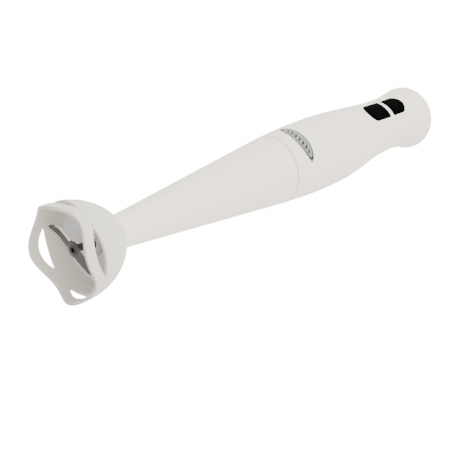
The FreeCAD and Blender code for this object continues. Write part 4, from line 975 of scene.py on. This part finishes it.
blade_steel = brushed_steel("blade_steel", (0.090, 0.086, 0.084), (0.125, 0.120, 0.118), 0.4,
                            (900.0, 5200.0, 900.0))
# The ground bevels get a near-white copy of the blade's steel: a painted highlight for the light that the
# bevels reflect.
bevel_highlight_steel = brushed_steel("bevel_highlight_steel", (0.74, 0.72, 0.68), (0.86, 0.84, 0.80), 0.45,
                             (900.0, 900.0, 7000.0))
blade_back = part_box("blade")[1].x - rim_x
blade_thick, hub_radius, hub_hole = 1.5 * mm, 5.2 * mm, 2.45 * mm
blade_face, ground_thick, root_reach = blade_back - blade_thick, 0.25 * mm, 5.0 * mm


def arm_row(reach, low, high, ground, bend):
    """A section across an arm: a flat strip whose high edge is ground down to a thin line."""
    face, back = blade_face - bend, blade_back - bend
    thin = back - ground_thick
    shape = [(face, low), (face, high - ground), (thin, high), (back, high), (back, low)]
    return [Vector((rim_x + at, reach, axis_z + height)) for at, height in shape]


def make_arm(mesh, sections):
    """Joins sections of an arm, in mm: reach, low edge, high edge, width of the grind, bend."""
    rows = [arm_row(*(value * mm for value in section)) for section in sections]
    skin(mesh, rows)
    for row in (rows[0], rows[-1]):
        mesh.faces.new([mesh.verts.new(point) for point in row])


blade = bmesh.new()
make_arm(blade, [(2.9, -2.7, 3.0, 0.2, 0.0), (5.0, -2.6, 3.3, 0.9, 0.0), (9.0, -2.4, 3.6, 0.95, 0.0),
                 (13.0, -2.2, 3.8, 0.95, 0.0), (15.0, -1.9, 3.9, 0.9, 0.2), (16.2, -1.3, 4.0, 0.4, 0.8),
                 (17.8, -0.3, 4.0, 0.2, 2.2), (19.2, 0.9, 3.7, 0.2, 3.5), (20.3, 1.9, 3.1, 0.2, 4.4)])
make_arm(blade, [(-2.9, -4.0, 4.9, 0.2, 0.0), (-5.5, -4.1, 5.4, 0.4, 0.0), (-10.0, -4.0, 5.2, 0.4, 0.0),
                 (-14.4, -3.8, 4.9, 0.4, 0.0), (-15.1, -3.75, 4.2, 0.4, 0.0), (-16.6, -3.6, 3.7, 0.4, 0.0),
                 (-18.8, -2.4, 2.6, 0.4, 0.0), (-20.0, -1.0, 1.7, 0.3, 0.0), (-20.4, 0.1, 1.2, 0.1, 0.0)])
hub_pad, hub_chamfer, hub_skin = 0.12 * mm, 0.4 * mm, 0.05 * mm
hub_face, hub_back = blade_face - hub_pad, blade_back + hub_skin
hub_rows = turned_rows([
    (hub_face, hub_hole), (hub_face, hub_radius - hub_chamfer), (blade_face + 0.1 * mm, hub_radius),
    (blade_back - 0.1 * mm, hub_radius), (hub_back, hub_radius - 0.3 * mm), (hub_back, hub_hole)], 72)
skin(blade, hub_rows + hub_rows[:1])
piece = make_piece(blade, "cutter_blade", "cutter", ["blade"], blade_steel,
                   edge=0.1 * mm, segments=2)
piece.data.materials.append(bevel_highlight_steel)
# The ground bevels' faces that face the bell's mouth and point up get the steel with the painted
# highlight.
for face in piece.data.polygons:
    slope = face.normal
    if slope.x < -0.2 and slope.z > 0.25 and abs(face.center.y) > root_reach:
        face.material_index = 1

# ---------------------------------------------------------------- drive shaft
# A drawn steel rod with a turned-down end that goes through the blade and is rolled over as a
# rivet with a blind hole; its far end has a chamfer and carries the driven coupling.
shaft_steel = brushed_steel("shaft_steel", (0.065, 0.062, 0.060), (0.10, 0.097, 0.095), 0.38,
                            (300.0, 5200.0, 5200.0))
shaft_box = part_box("drive_shaft")
shaft_radius = (shaft_box[1].z - shaft_box[0].z) / 2
shaft_tip, shaft_end = shaft_box[0].x - rim_x, shaft_box[1].x - rim_x
lip_radius, stub_radius, blind_radius, blind_deep = 3.3 * mm, 2.3 * mm, 1.7 * mm, 2.4 * mm
shaft = bmesh.new()
core_radius, lip_round, shaft_chamfer = 0.3 * mm, 0.05 * mm, 0.5 * mm
lip_back, shoulder = blade_face - 0.14 * mm, blade_back + 0.07 * mm
shaft_outline = [
    (shaft_tip + blind_deep, core_radius), (shaft_tip + blind_deep, blind_radius),
    (shaft_tip + 0.35 * mm, blind_radius), (shaft_tip + lip_round, blind_radius + 0.3 * mm),
    (shaft_tip, blind_radius + 0.6 * mm), (shaft_tip + lip_round, lip_radius - 0.4 * mm),
    (shaft_tip + 0.25 * mm, lip_radius), (lip_back, lip_radius), (lip_back, stub_radius),
    (shoulder, stub_radius), (shoulder, shaft_radius), (shaft_end - shaft_chamfer, shaft_radius),
    (shaft_end, shaft_radius - shaft_chamfer), (shaft_end, core_radius)]
shaft_rows = turned_rows(shaft_outline, 72)
skin(shaft, shaft_rows)
for row in (shaft_rows[0], shaft_rows[-1]):
    shaft.faces.new([shaft.verts.new(point) for point in row])
make_piece(shaft, "shaft_rod", "cutter", ["drive_shaft"], shaft_steel,
           edge=0.08 * mm, segments=2)

# ---------------------------------------------------------------- splash plate
# A shallow polished dish pressed in against the bell's ledge, round the boss, which keeps food out
# of the dome. It is a slightly cooler white than the bell.
plate_low, plate_high = (corner.x - rim_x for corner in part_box("splash_plate"))
dish_thick = 1.6 * mm
dish_deep = plate_high - plate_low - dish_thick
dish_radius = (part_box("splash_plate")[1].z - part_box("splash_plate")[0].z) / 2
boss_hole = boss_radius + 0.05 * mm
plate_plastic = moulded_plastic("plate_plastic", (0.80, 0.81, 0.85), (0.75, 0.76, 0.80), 0.22, 0.02)
dish = bmesh.new()
dish_rim, dish_seat, dish_land = dish_radius - 0.05 * mm, dish_radius - 3.2 * mm, 0.7 * mm


def dish_at(radius):
    """How far the dish has sunk, from nothing at its rim to its full depth at the boss."""
    share = (dish_rim - radius) / (dish_rim - boss_hole)
    return dish_deep * max(share, 0.0) ** 1.15


dish_outline = [(plate_low + dish_at(r), r) for r in evenly(dish_rim, boss_hole, 16)]
dish_outline += [(plate_low + dish_thick + dish_at(r), r) for r in evenly(boss_hole, dish_seat, 12)]
dish_outline += [(plate_low + dish_thick, dish_seat),
                 (plate_low + dish_thick, dish_rim - dish_land)]
dish_rows = turned_rows(dish_outline, 144)
skin(dish, dish_rows + dish_rows[:1])
make_piece(dish, "splash_dish", "leg", ["splash_plate"], plate_plastic,
           edge=0.1 * mm, segments=2)

# ---------------------------------------------------------------- inside the housing
# The parts that the shells hide keep the shapes of the assembly. Each gets the finish of what it
# is made of: moulded, pressed, sintered, drawn, stacked or wound.
moulded = {
    "grey_plastic": ((0.20, 0.20, 0.195), (0.15, 0.15, 0.15), 0.55),
    "coupling_black": ((0.035, 0.035, 0.036), (0.02, 0.02, 0.022), 0.5),
    "carbon": ((0.03, 0.03, 0.033), (0.015, 0.015, 0.017), 0.75),
    "seal_rubber": ((0.035, 0.035, 0.035), (0.02, 0.02, 0.02), 0.7),
    "board_green": ((0.03, 0.13, 0.05), (0.02, 0.09, 0.035), 0.4),
    "capacitor_yellow": ((0.62, 0.42, 0.05), (0.50, 0.33, 0.04), 0.3)}
metals = {
    "screw_steel": ((0.42, 0.42, 0.43), (0.60, 0.60, 0.61), 0.35, (2500.0, 2500.0, 2500.0)),
    "bronze": ((0.42, 0.27, 0.12), (0.55, 0.38, 0.18), 0.5, (1400.0, 1400.0, 1400.0)),
    "lamination_steel": ((0.12, 0.12, 0.13), (0.34, 0.35, 0.37), 0.5, (1600.0, 2.0, 2.0)),
    "copper_wire": ((0.40, 0.13, 0.04), (0.72, 0.32, 0.13), 0.32, (40.0, 2400.0, 2400.0))}
finishes = {"shaft_steel": shaft_steel, "plate_plastic": plate_plastic}
for slot_name, (colour, shadow_colour, roughness) in moulded.items():
    finishes[slot_name] = moulded_plastic(slot_name, colour, shadow_colour, roughness, 0.15)
for slot_name, (dark, light, roughness, stretch) in metals.items():
    finishes[slot_name] = brushed_steel(slot_name, dark, light, roughness, stretch)
for part in frame["record"]["subparts"]:
    finish = finishes.get(part["material_slot"])
    if finish:
        data = frame["nodes"][part["node"]].data
        data.materials.clear()
        data.materials.append(finish)

# ---------------------------------------------------------------- button springs
# A pair of zinc-plated coil springs under each key, one on each side of its switch. They stand on the
# switch board.
coil_outer, wire_radius, coil_turns, turn_steps, wire_sides = 2.4 * mm, 0.3 * mm, 5.5, 20, 8
for word in ("low", "turbo"):
    node = word + "_button_springs"
    spring_low, spring_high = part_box(node)
    coil_side = spring_high.y - coil_outer
    coil_middle = (spring_low.x + spring_high.x) / 2
    coil_radius = coil_outer - wire_radius
    coil_long = spring_high.z - spring_low.z - 2 * wire_radius
    coils = bmesh.new()
    for side in (-coil_side, coil_side):
        wire_rows = []
        for share in evenly(0, 1, round(coil_turns * turn_steps)):
            turn = share * coil_turns * math.tau
            height = spring_low.z + wire_radius + coil_long * share
            wire_rows.append([
                Vector((coil_middle + (coil_radius + wire_radius * math.cos(t)) * math.cos(turn),
                        side + (coil_radius + wire_radius * math.cos(t)) * math.sin(turn),
                        height + wire_radius * math.sin(t)))
                for t in evenly(0, math.tau, wire_sides)[:-1]])
        skin(coils, wire_rows)
        for row in (wire_rows[0], wire_rows[-1]):
            coils.faces.new([coils.verts.new(point) for point in row])
    piece = make_piece(coils, word + "_coils", "motor_unit", [node],
                       finishes["screw_steel"])
    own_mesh(piece)
